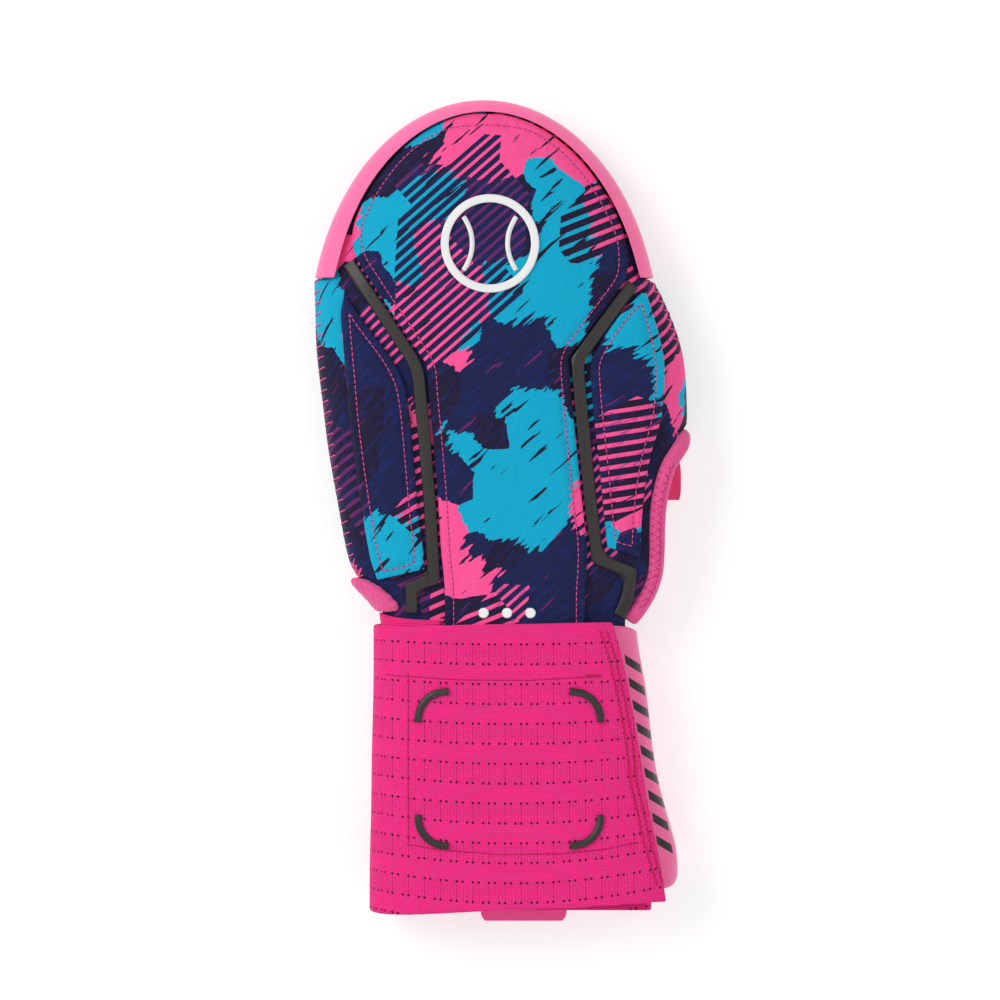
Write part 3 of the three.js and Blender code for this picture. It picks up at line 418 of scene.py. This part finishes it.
# Padded panels of the back. Each is printed knit glued over foam, pressed thin along its cut edge,
# and sewn down with one line of pink running stitch that pulls a shallow trough into the pad.
THREAD_PINK = srgb(226, 80, 144)
SEAM_INSET = 0.0032
TROUGH_DEPTH = 0.0006
TROUGH_WIDTH = 0.0016
STITCH_LENGTH = 0.0014
STITCH_PITCH = 0.0020
THREAD_RADIUS = 0.0002
PUFF_CAP = 0.0009
OUTLINE_STEP = 0.0015
MARK_PITCH = 0.0006
RAY_START = 0.1
ARCH = ((-0.5, -0.6), (-0.32, 0.7), (0.0, 1.0), (0.32, 0.7), (0.5, -0.6))
PANELS = [
    ("centre_panel", "centre_pad", (0.08, 0.21, 0), -0.72),
    ("side_panel_left", "left_pad", (0.55, 0.02, 0), -0.86),
    ("side_panel_right", "right_pad", (0.17, 0.43, 0), -0.5),
]


def surface_of(piece):
    """Search tree over a finished piece."""
    return BVHTree.FromObject(piece, bpy.context.evaluated_depsgraph_get())


def drop(tree, x, y, side=1):
    """Point and normal on the upper (1) or lower (-1) face at a place in plan, or nothing."""
    hit, normal, *_ = tree.ray_cast(Vector((x, y, RAY_START * side)), Vector((0, 0, -side)))
    return (hit, normal) if hit else None


def edge_rows(piece, step):
    """Least and greatest x of a piece for each row of y."""
    rows = {}
    for vertex in piece.data.vertices:
        key = round(vertex.co.y / step)
        low, high = rows.get(key, (1.0, -1.0))
        rows[key] = (min(low, vertex.co.x), max(high, vertex.co.x))
    return {key * step: row for key, row in rows.items()}


def plan_outline(piece):
    """Outline of a panel from above: points down its left side and back up its right side."""
    rows = edge_rows(piece, OUTLINE_STEP)
    down = sorted(rows, reverse=True)
    left = [Vector((rows[y][0], y)) for y in down]
    right = [Vector((rows[y][1], y)) for y in down]
    return left + right[::-1]


def smoothed(line, passes):
    """Closed line of points with its small steps rubbed out."""
    for _ in range(passes):
        ahead = line[1:] + line[:1]
        line = [(line[i - 1] + line[i] * 2 + ahead[i]) / 4 for i in range(len(line))]
    return line


def near_tree(points):
    """Search tree over points in plan."""
    tree = kdtree.KDTree(len(points))
    for i, point in enumerate(points):
        tree.insert((point.x, point.y, 0), i)
    tree.balance()
    return tree


def walk(line, pitch, closed=True):
    """Places and headings at an even pitch along a line."""
    points = line + [line[0]] if closed else line
    marks, carry = [], 0.0
    for a, b in zip(points, points[1:]):
        length = (b - a).length
        while carry < length:
            marks.append((a.lerp(b, carry / length), (b - a).normalized()))
            carry += pitch
        carry -= length
    return marks


def inset_line(outline, inset):
    """Closed line at an even distance inside an outline."""
    line = smoothed([place for place, heading in walk(smoothed(outline, 2), 0.001)], 3)
    tree = near_tree(line)
    inner = []
    for i, point in enumerate(line):
        along = (line[(i + 1) % len(line)] - line[i - 1]).normalized()
        moved = point + Vector((-along.y, along.x)) * inset
        if tree.find((moved.x, moved.y, 0))[2] > 0.93 * inset:
            inner.append(moved)
    return smoothed(inner, 3)


def threads(name, strands, radius, material):
    """One mesh of many short threads, each a list of points in space."""
    curve = bpy.data.curves.new(name, "CURVE")
    curve.dimensions = "3D"
    curve.bevel_depth = radius
    curve.bevel_resolution = 1
    curve.use_fill_caps = True
    for strand in strands:
        spline = curve.splines.new("POLY")
        spline.points.add(len(strand) - 1)
        for place, point in zip(spline.points, strand):
            place.co = (*point, 1)
    loose = placed(name + "_curve", curve)
    bpy.context.view_layer.update()
    graph = bpy.context.evaluated_depsgraph_get()
    mesh = bpy.data.meshes.new_from_object(loose.evaluated_get(graph))
    bpy.data.objects.remove(loose)
    mesh.shade_smooth()
    return fit(placed(name, mesh), material)


def running_stitch(tree, line, length, pitch, lift, closed=True, side=1, gaps=False):
    """Strands of a running stitch: each arches out of the cloth and dips in again."""
    strands = []
    for place, heading in walk(line, pitch / 2, closed)[int(gaps)::2]:
        strand = []
        for share, height in ARCH:
            spot = place + heading * length * share
            found = drop(tree, spot.x, spot.y, side)
            if found:
                strand.append(found[0] + found[1] * lift * height)
        if len(strand) == len(ARCH):
            strands.append(strand)
    return strands


def press_trough(piece, line, depth, width, pucker=0.0, side=1):
    """Sinks a face along a sewn line; the pucker makes the trough deeper under each stitch."""
    marks = [place for place, heading in walk(line, MARK_PITCH)]
    tree = near_tree(marks)
    facing = [v.index for v in piece.data.vertices if v.normal.z * side > 0.2]
    for index in facing:
        place = piece.data.vertices[index].co
        _, i, distance = tree.find((place.x, place.y, 0))
        if distance < 3 * width:
            wave = 1 + pucker * math.sin(2 * math.pi * i * MARK_PITCH / (2 * STITCH_PITCH))
            place.z -= side * depth * wave * math.exp(-((distance / width) ** 2))


def sewing_thread(name, colour):
    """Twisted polyester thread with a slight shine."""
    material, tree, skin = finish(name, colour, 0.6, sheen=0.03, specular=0.3)
    twist = noise(tree, object_place(tree), 2500.0)[0]
    shown = toned(tree, colour, mapped(tree, twist, 0.75, 1.15))
    tree.links.new(shown, skin.inputs["Base Color"])
    return material


pink_thread = sewing_thread("pink_thread", THREAD_PINK)
navy_thread = sewing_thread("navy_thread", DEEP_NAVY)
for node, name, shift, turn in PANELS:
    pad = puffed(worked_copy(node, name, crease=0.35), cap=PUFF_CAP)
    seam = inset_line(plan_outline(pad), SEAM_INSET)
    press_trough(pad, seam, TROUGH_DEPTH, TROUGH_WIDTH, pucker=0.25)
    fit(pad, printed_knit(name + "_print", shift, turn), node)
    pad_tree = surface_of(pad)
    stitches = running_stitch(pad_tree, seam, STITCH_LENGTH, STITCH_PITCH, 0.00016)
    threads(name + "_stitching", stitches, THREAD_RADIUS, pink_thread)
    gap_length = STITCH_PITCH - STITCH_LENGTH
    twists = running_stitch(pad_tree, seam, gap_length, STITCH_PITCH, 0.00008, gaps=True)
    threads(name + "_twist", twists, 0.8 * THREAD_RADIUS, navy_thread)


# Overlock. The cover's edges are whipped together with slanted pink stitches
# down the left side and over the shoulder of the right side.
ROW_STEP = 0.003
WHIP_RADIUS = 0.00026
LEFT, RIGHT = 0, 1
WHIP_RUNS = (
    (LEFT, 0.0835, -0.0200, 0.0040, 1),
    (RIGHT, 0.0825, 0.0600, 0.0034, -1),
    (LEFT, -0.0205, -0.0300, 0.0018, 1),
)
WHIP_SHAPE = (
    (0.0002, -0.0005, 0.0001),
    (0.0008, 0.0000, 0.00034),
    (0.0016, 0.0005, 0.0003),
    (0.0024, 0.0009, -0.0001),
)


def edge_at(rows, y, side):
    """Edge of a piece at a place along it, between the nearest known rows."""
    keys = sorted(rows)
    after = next((i for i, key in enumerate(keys) if key >= y), len(keys) - 1)
    a, b = keys[max(0, after - 1)], keys[after]
    share = 0 if a == b else (y - a) / (b - a)
    return rows[a][side] * (1 - share) + rows[b][side] * share


cover_tree = surface_of(back_cover)
cover_rows = edge_rows(back_cover, ROW_STEP)
whips = []
for side, y, stop, pitch, reach in WHIP_RUNS:
    while y > stop:
        whip = []
        for inward, up, lift in WHIP_SHAPE:
            found = drop(cover_tree, edge_at(cover_rows, y, side) + reach * inward, y + up)
            if found:
                whip.append(found[0] + found[1] * lift)
        if len(whip) > 2:
            whips.append(whip)
        y -= pitch
threads("overlock", whips, WHIP_RADIUS, pink_thread)


# Channel strips. Two black rubber mouldings lie in the channels between the pads
# and run from the rim to the strap; each has a flat satin top with rounded shoulders.
BLACK_RUBBER = srgb(40, 37, 34)
GRAIN_DEPTH, GRAIN_STRENGTH = 0.00006, 0.6
TOP_SHARE, TOP_FLATNESS = 0.72, 0.9


def moulded_rubber(name, colour, roughness, grain):
    """Moulded rubber: fine spark-eroded grain and faint uneven shine."""
    material, tree, skin = finish(name, colour, roughness, specular=0.45)
    place = object_place(tree)
    fine = noise(tree, place, grain, 3.0)[0]
    broad = noise(tree, place, 45.0)[0]
    shown = toned(tree, colour, mapped(tree, broad, 0.93, 1.07))
    tree.links.new(shown, skin.inputs["Base Color"])
    shine = mapped(tree, broad, roughness - 0.06, roughness + 0.08)
    tree.links.new(shine, skin.inputs["Roughness"])
    bump(tree, skin, fine, GRAIN_DEPTH, GRAIN_STRENGTH)
    return material


black_rubber = moulded_rubber("black_rubber", BLACK_RUBBER, 0.45, 2600.0)
for side in ("left", "right"):
    node = "channel_strip_" + side
    strip = worked_copy(node, side + "_channel", crease=0.92, sharp=30, levels=3)
    heights = {}
    for vertex in strip.data.vertices:
        ground = drop(cover_tree, vertex.co.x, vertex.co.y)
        if ground and vertex.normal.z > 0:
            heights[vertex.index] = vertex.co.z - ground[0].z
    flat_top = TOP_SHARE * sorted(heights.values())[int(0.9 * len(heights))]
    for index, height in heights.items():
        if height > flat_top:
            strip.data.vertices[index].co.z -= (height - flat_top) * TOP_FLATNESS
    fit(strip, black_rubber, node)


# Raised emblem. A plain ball outline with two curved seams, and three dots at the wrist,
# all moulded in white rubber and bonded to the centre pad.
EMBLEM = ["emblem_ring", "emblem_seam_left", "emblem_seam_right"]
DOTS = ["neck_dot_left", "neck_dot_middle", "neck_dot_right"]
white_rubber = moulded_rubber("white_rubber", srgb(232, 232, 232), 0.42, 2400.0)
for node in EMBLEM + DOTS:
    fit(worked_copy(node, node + "_moulding", crease=0.7, sharp=40), white_rubber, node)


# Fingertip rim. One pink rubber moulding wraps the rounded end, with a lip on the back and
# the palm; its soft satin face has a fine grain with short crossed flecks over it.
FLECK_TURNS = (0.6, -0.8)
FLECK_SCALE = (330, 1700, 500)
FLECK_DEPTH, FLECK_STRENGTH = 0.00012, 0.8


def flecked(material):
    """Adds short crossed flecks to a moulding's grain."""
    tree = material.node_tree
    place = object_place(tree)
    flecks = []
    for turn in FLECK_TURNS:
        spots = noise(tree, laid(tree, place, turn=turn, scale=FLECK_SCALE), 1.0, 0.0)[0]
        flecks.append(mapped(tree, spots, start=0.6, stop=0.66))
    height = sums(tree, "MAXIMUM", *flecks)
    grain = next(node for node in tree.nodes if node.type == "BUMP")
    bump(tree, tree.nodes["Principled BSDF"], height, FLECK_DEPTH, FLECK_STRENGTH)
    fleck = next(node for node in tree.nodes if node.type == "BUMP" and node != grain)
    tree.links.new(grain.outputs[0], fleck.inputs["Normal"])
    return material


pink_rubber = flecked(moulded_rubber("pink_rubber", srgb(255, 110, 166), 0.42, 1500.0))
rim = worked_copy("tip_bumper", "fingertip_rim", crease=0.8, sharp=45, levels=3)
fit(rim, pink_rubber, "tip_bumper")


# Palm side. A plain navy knit cover with a padded panel sewn on, on which the mitt lies,
# and a glossy dark pink tab beside the thumb opening.
PALM_INSET = 0.0045
PALM_TROUGH = 0.0009
PALM_STITCH_LENGTH, PALM_STITCH_PITCH = 0.0016, 0.0023


def plain_knit(name, colour, pitch=0.0011, depth=0.00016):
    """Knit of one colour with fine columns of loops."""
    material, tree, skin = finish(name, colour, 0.85, sheen=0.25, specular=0.25)
    place = object_place(tree)
    fuzz = noise(tree, place, 700.0)[0]
    shown = toned(tree, colour, mapped(tree, fuzz, 0.84, 1.12))
    tree.links.new(shown, skin.inputs["Base Color"])
    bump(tree, skin, knit_relief(tree, place, pitch), depth)
    return material


navy_knit = plain_knit("navy_knit", srgb(30, 33, 66))
palm_cover = fit(narrowed(worked_copy("palm_shell", "palm_cover")), navy_knit, "palm_shell")
palm_pad = worked_copy("palm_pad", "palm_cushion", crease=0.5, levels=4)
palm_seam = inset_line(plan_outline(palm_pad), PALM_INSET)
press_trough(palm_pad, palm_seam, PALM_TROUGH, TROUGH_WIDTH, side=-1)
fit(palm_pad, navy_knit, "palm_pad")
palm_stitches = running_stitch(
    surface_of(palm_pad), palm_seam, PALM_STITCH_LENGTH, PALM_STITCH_PITCH, 0.00014, side=-1)
threads("palm_stitching", palm_stitches, THREAD_RADIUS, pink_thread)
glossy_pink = moulded_rubber("glossy_pink", srgb(244, 62, 124), 0.25, 900.0)
fit(worked_copy("thumb_tab", "thumb_pull", crease=0.6), glossy_pink, "thumb_tab")


# Bindings. Soft pink knit is folded over the edge of the thumb opening and gathered over the
# lower left corner; a zigzag and a straight row of stitches hold the thumb binding.
ROLL_START, ROLL_STOP = 0.0170, -0.0340
ZIGZAG_PITCH, STRAIGHT_PITCH = 0.0028, 0.0021
ROLL_THREAD = 0.00013

pink_knit = plain_knit("pink_knit", srgb(228, 82, 146), pitch=0.0009, depth=0.00008)
thumb_roll = swelled(worked_copy("thumb_binding", "thumb_roll", crease=0.0), 0.0007)
fit(thumb_roll, pink_knit, "thumb_binding")
corner_gusset = worked_copy("cuff_binding", "corner_gusset", crease=0.0, levels=4)
fit(swelled(corner_gusset, 0.0009, wrinkle=0.00016), pink_knit, "cuff_binding")
deep_thread = sewing_thread("deep_thread", srgb(188, 10, 84))
roll_tree = surface_of(thumb_roll)
roll_rows = edge_rows(thumb_roll, ROW_STEP)


def roll_row(y, share):
    """Place across the visible face of the thumb binding."""
    low, high = edge_at(roll_rows, y, LEFT), edge_at(roll_rows, y, RIGHT)
    return drop(roll_tree, low + (high - low) * share, y)


zigzags = []
y = ROLL_START
while y > ROLL_STOP:
    tip = y - ZIGZAG_PITCH / 2
    corners = [roll_row(y, 0.2), roll_row(tip, 0.62), roll_row(y - ZIGZAG_PITCH, 0.2)]
    if all(corners):
        for a, b in zip(corners, corners[1:]):
            middle = (a[0] + b[0]) / 2 + a[1] * 0.00025
            zigzags.append([a[0] + a[1] * 0.00012, middle, b[0] + b[1] * 0.00012])
    y -= ZIGZAG_PITCH
y = ROLL_START
while y > ROLL_STOP:
    pair = [roll_row(y, 0.7), roll_row(y - 0.0015, 0.7)]
    if all(pair):
        zigzags.append([p[0] + p[1] * 0.00014 for p in pair])
    y -= STRAIGHT_PITCH
threads("binding_stitching", zigzags, ROLL_THREAD, deep_thread)


# Wrist strap. Wide pink elastic webbing with ribbed bands between rows of small woven holes;
# it is folded round the left side, and its end is sewn to a moulded tab.
WEBBING_PINK = srgb(250, 46, 137)
# Dark red painted into the holes and ladder dashes as painted shade inside the openings.
HOLE_SHADE_RED = srgb(84, 4, 36)
ROW_SHARE, ROW_MM = 0.0693, 7.05
HOLE_PERIOD, PERIOD_MM = 0.00585, 5.85
HALF_PAIR_MM = 1.05
HOLE_OUTER_MM, HOLE_INNER_MM = 0.5, 0.3
ROW_OFFSET, COLUMN_OFFSET, COLUMN_HALF = 0.36, 0.18, 0.035
RIBS = 132
WEAVE_DEPTH = 0.00022
FOLD_TOP = 0.030
FOLD_LOW = 0.008
FOLD_X = 0.047
STRAP_MIDDLE_X, STRAP_HALF = 0.004, 0.053
STRAP_TOP_Y, TOP_BOW = -0.0398, 0.0014
STRAP_BOTTOM_Y, BOTTOM_BOW = -0.1398, 0.0056


def off_half(tree, value):
    """How far a value is from one half, either way."""
    return sums(tree, "ABSOLUTE", sums(tree, "SUBTRACT", value, 0.5))


def webbing(name, colour):
    """Elastic webbing: ribbed bands, gridded bands and rows of paired holes between them, with
    painted shade in the holes, in the ladder dashes and between the ribs.
    """
    material, tree, skin = finish(name, colour, 0.8, sheen=0.03, specular=0.2)
    place = put(tree, "ShaderNodeUVMap", uv_map="weave").outputs[0]
    parts = split(tree, place)
    row = sums(tree, "MULTIPLY", parts[1], 1 / ROW_SHARE)
    index = sums(tree, "ROUND", row)
    odd = sums(tree, "ABSOLUTE", sums(tree, "MODULO", index, 2.0))
    even = sums(tree, "SUBTRACT", 1.0, odd)
    off_row = sums(tree, "ABSOLUTE", sums(tree, "SUBTRACT", row, index))
    off_row = sums(tree, "MULTIPLY", off_row, ROW_MM)
    count = sums(tree, "MULTIPLY", parts[0], 1 / HOLE_PERIOD)
    shifted = sums(tree, "MULTIPLY_ADD", even, ROW_OFFSET, count)
    pair = off_half(tree, sums(tree, "FRACT", shifted))
    off_hole = sums(tree, "SUBTRACT", sums(tree, "MULTIPLY", pair, PERIOD_MM), HALF_PAIR_MM)
    squares = [sums(tree, "POWER", side, 2.0) for side in (off_hole, off_row)]
    reach = sums(tree, "SQRT", sums(tree, "ADD", *squares))
    inside = mapped(tree, parts[1], start=0.03, stop=0.035)
    hole = mapped(tree, reach, start=HOLE_OUTER_MM, stop=HOLE_INNER_MM)
    hole = sums(tree, "MULTIPLY", hole, inside)
    band = sums(tree, "MODULO", sums(tree, "ADD", sums(tree, "FLOOR", row), 21.0), 2.0)
    gridded = sums(tree, "MULTIPLY", sums(tree, "LESS_THAN", band, 0.5), inside)
    ribs = sums(tree, "SINE", sums(tree, "MULTIPLY", parts[1], 2 * math.pi * RIBS))
    post_turns = 2 * math.pi / (HOLE_PERIOD / 5)
    posts = sums(tree, "SINE", sums(tree, "MULTIPLY", parts[0], post_turns))
    column = off_half(tree, sums(tree, "FRACT", sums(tree, "ADD", count, COLUMN_OFFSET)))
    column = sums(tree, "LESS_THAN", column, COLUMN_HALF)
    dashed = sums(tree, "GREATER_THAN", ribs, 0.1)
    ladder = sums(tree, "MULTIPLY", sums(tree, "MULTIPLY", column, dashed), gridded)
    grid = sums(tree, "MULTIPLY", gridded, posts)
    relief = sums(tree, "MULTIPLY_ADD", grid, 0.35, sums(tree, "MULTIPLY", ribs, 0.6))
    tone = sums(tree, "MULTIPLY_ADD", noise(tree, place, 900.0)[0], 0.3, 0.84)
    # Painted highlight and shade: the crowns of the ribs and posts are painted lighter and the
    # hollows between them darker, following the relief.
    tone = sums(tree, "MULTIPLY_ADD", relief, 0.2, tone)
    broad = noise(tree, place, 30.0, 1.0)[0]
    tone = sums(tree, "MULTIPLY_ADD", broad, 0.12, sums(tree, "SUBTRACT", tone, 0.06))
    shown = toned(tree, colour, tone)
    # Painted shade: the ladder dashes get the dark red at half strength, and the holes get it in
    # full.
    shown = blend(tree, sums(tree, "MULTIPLY", ladder, 0.45), shown, HOLE_SHADE_RED)
    shown = blend(tree, hole, shown, HOLE_SHADE_RED)
    tree.links.new(shown, skin.inputs["Base Color"])
    bump(tree, skin, sums(tree, "MULTIPLY_ADD", hole, -2.5, relief), WEAVE_DEPTH)
    return material


def strap_edges(x):
    """The strap's top and bottom edge at a place across it; both bow towards the wrist."""
    across = max(-1.0, min(1.0, (x - STRAP_MIDDLE_X) / STRAP_HALF))
    bow = 1 - across * across
    return STRAP_TOP_Y - TOP_BOW * bow, STRAP_BOTTOM_Y - BOTTOM_BOW * bow


def length_round(point):
    """Length round the wrist: across the top, down the side, back along the underside."""
    side = 1 if point.x > 0.046 or (point.x > 0 and point.z > FOLD_LOW) else -1
    if point.z > FOLD_TOP:
        return point.x
    if point.z > FOLD_LOW:
        return point.x + side * (FOLD_TOP - point.z)
    return side * (2 * FOLD_X + FOLD_TOP - FOLD_LOW) - point.x


def map_webbing(piece):
    """Weave map: u is the length round the wrist, v the share of the width below the top edge."""
    mesh = piece.data
    uv = mesh.uv_layers.new(name="weave")
    for loop in mesh.loops:
        point = mesh.vertices[loop.vertex_index].co
        top, bottom = strap_edges(point.x)
        uv.data[loop.index].uv = (length_round(point), (top - point.y) / (top - bottom))


elastic = webbing("elastic_webbing", WEBBING_PINK)
strap = worked_copy("wrist_strap", "elastic_strap", crease=0.6, levels=3)
map_webbing(strap)
fit(strap, elastic, "wrist_strap")
anchor = worked_copy("strap_anchor", "strap_under_layer", crease=0.6)
map_webbing(anchor)
fit(anchor, elastic, "strap_anchor")
strap_tree = surface_of(strap)


# Seams of the strap. A box of straight stitches with a bartack at its corner holds the lower
# layer, and two rows of zigzag hold the end tab along the slanted end of the strap.
BOX_SEAMS = [
    [(-33.2, -59.8), (-33.4, -90), (-33.2, -121)],
    [(-40.8, -59.6), (-15, -61.2), (10, -61.4), (36.5, -60.0)],
    [(-33.0, -121.2), (-20, -123.2), (0, -124.6), (22, -124.4), (36.5, -123), (50.5, -120.2)],
]
STRAP_STITCH_LENGTH, STRAP_STITCH_PITCH = 0.0019, 0.0023
BARTACK_STITCHES, BARTACK_PITCH = 16, 0.35
END_SEAM = [
    (40.88, -43.435), (44.165, -53.29), (47.815, -69.715), (50.735, -86.14),
    (51.83, -98.185), (54.02, -107.31), (56.94, -121.18), (61.685, -136.145),
]
END_INSETS = (2.3, 4.6)
ZAG_PITCH, ZAG_HALF = 0.0010, 0.0004


def in_metres(points):
    """A line given in millimetres across and along the mitt."""
    return [Vector((x / 1000, y / 1000)) for x, y in points]


runs = []
for line in BOX_SEAMS:
    runs += running_stitch(strap_tree, in_metres(line), STRAP_STITCH_LENGTH,
                           STRAP_STITCH_PITCH, 0.00012, closed=False)
for i in range(BARTACK_STITCHES):
    rise = 0.9 * (i % 2)
    across = BARTACK_PITCH * i
    stitch = in_metres([(31.0 + across, -59.4 - rise), (31.4 + across, -60.3 + rise)])
    ends = [drop(strap_tree, point.x, point.y) for point in stitch]
    if all(ends):
        runs.append([end[0] + end[1] * 0.0002 for end in ends])
threads("strap_seams", runs, 0.00022, deep_thread)
zags = []
for inset in END_INSETS:
    line = in_metres([(x - inset, y) for x, y in END_SEAM])
    spots = []
    for i, (place, heading) in enumerate(walk(line, ZAG_PITCH, closed=False)):
        spot = place + Vector((-heading.y, heading.x)) * (ZAG_HALF if i % 2 else -ZAG_HALF)
        found = drop(strap_tree, spot.x, spot.y)
        if found:
            spots.append(found[0] + found[1] * 0.0001)
    zags += [list(pair) for pair in zip(spots, spots[1:])]
threads("strap_end_zigzag", zags, 0.00024, deep_thread)


# End tab, arcs and wrist pull. The end tab and the pull are satin pink rubber sewn to the strap;
# the tab has plain slanted black bars printed flush, and four raised black arcs sit on the strap.
TAB_PINK = srgb(238, 103, 158)
BAR_BLACK = srgb(38, 26, 34)
SATIN_GRAIN = 1700.0
BAR_LINE_X, BAR_LINE_Y, BAR_LEAN = 0.0475, -0.0507, 0.174
BAR_HALF, BAR_SLANT = 0.0026, 0.7
BAR_PITCH, BAR_SHARE = 0.0082, 0.42
BARS_MIDDLE, BARS_HALF = -0.0861, 0.0369
BARS_ABOVE = 0.014


def barred_rubber():
    """Pink rubber with a row of slanted black bars along the tab's upper face."""
    material, tree, skin = finish("barred_rubber", TAB_PINK, 0.4, specular=0.45)
    place = object_place(tree)
    parts = split(tree, place)
    start = sums(tree, "ADD", parts[0], -BAR_LINE_X - BAR_LINE_Y * BAR_LEAN)
    middle = sums(tree, "MULTIPLY_ADD", parts[1], BAR_LEAN, start)
    width = sums(tree, "LESS_THAN", sums(tree, "ABSOLUTE", middle), BAR_HALF)
    slant = sums(tree, "MULTIPLY_ADD", middle, BAR_SLANT, parts[1])
    phase = sums(tree, "FRACT", sums(tree, "MULTIPLY", slant, 1 / BAR_PITCH))
    bars = sums(tree, "LESS_THAN", phase, BAR_SHARE)
    along = sums(tree, "ABSOLUTE", sums(tree, "ADD", slant, -BARS_MIDDLE))
    reach = sums(tree, "LESS_THAN", along, BARS_HALF)
    above = sums(tree, "GREATER_THAN", parts[2], BARS_ABOVE)
    bars = sums(tree, "MULTIPLY", width, bars)
    ink = sums(tree, "MULTIPLY", bars, sums(tree, "MULTIPLY", reach, above))
    tree.links.new(blend(tree, ink, TAB_PINK, BAR_BLACK), skin.inputs["Base Color"])
    bump(tree, skin, noise(tree, place, SATIN_GRAIN)[0], GRAIN_DEPTH, GRAIN_STRENGTH)
    return material


satin_pink = moulded_rubber("satin_pink", srgb(255, 92, 168), 0.4, SATIN_GRAIN)
end_tab = worked_copy("strap_end_tab", "end_tab", crease=0.95, sharp=22)
fit(end_tab, barred_rubber(), "strap_end_tab")
for node in sorted(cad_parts):
    if node.startswith("strap_arc_"):
        fit(worked_copy(node, node + "_moulding", crease=0.6, sharp=40), black_rubber, node)
fit(worked_copy("pull_tab", "wrist_pull", crease=0.6, sharp=45), satin_pink, "pull_tab")


# Cuff lining. A soft pink knit sleeve sewn inside the wrist end of both covers;
# its edge shows at the opening.
lining = narrowed(worked_copy("cuff_lining", "cuff_sleeve", crease=0.4, levels=3))
fit(lining, pink_knit, "cuff_lining")
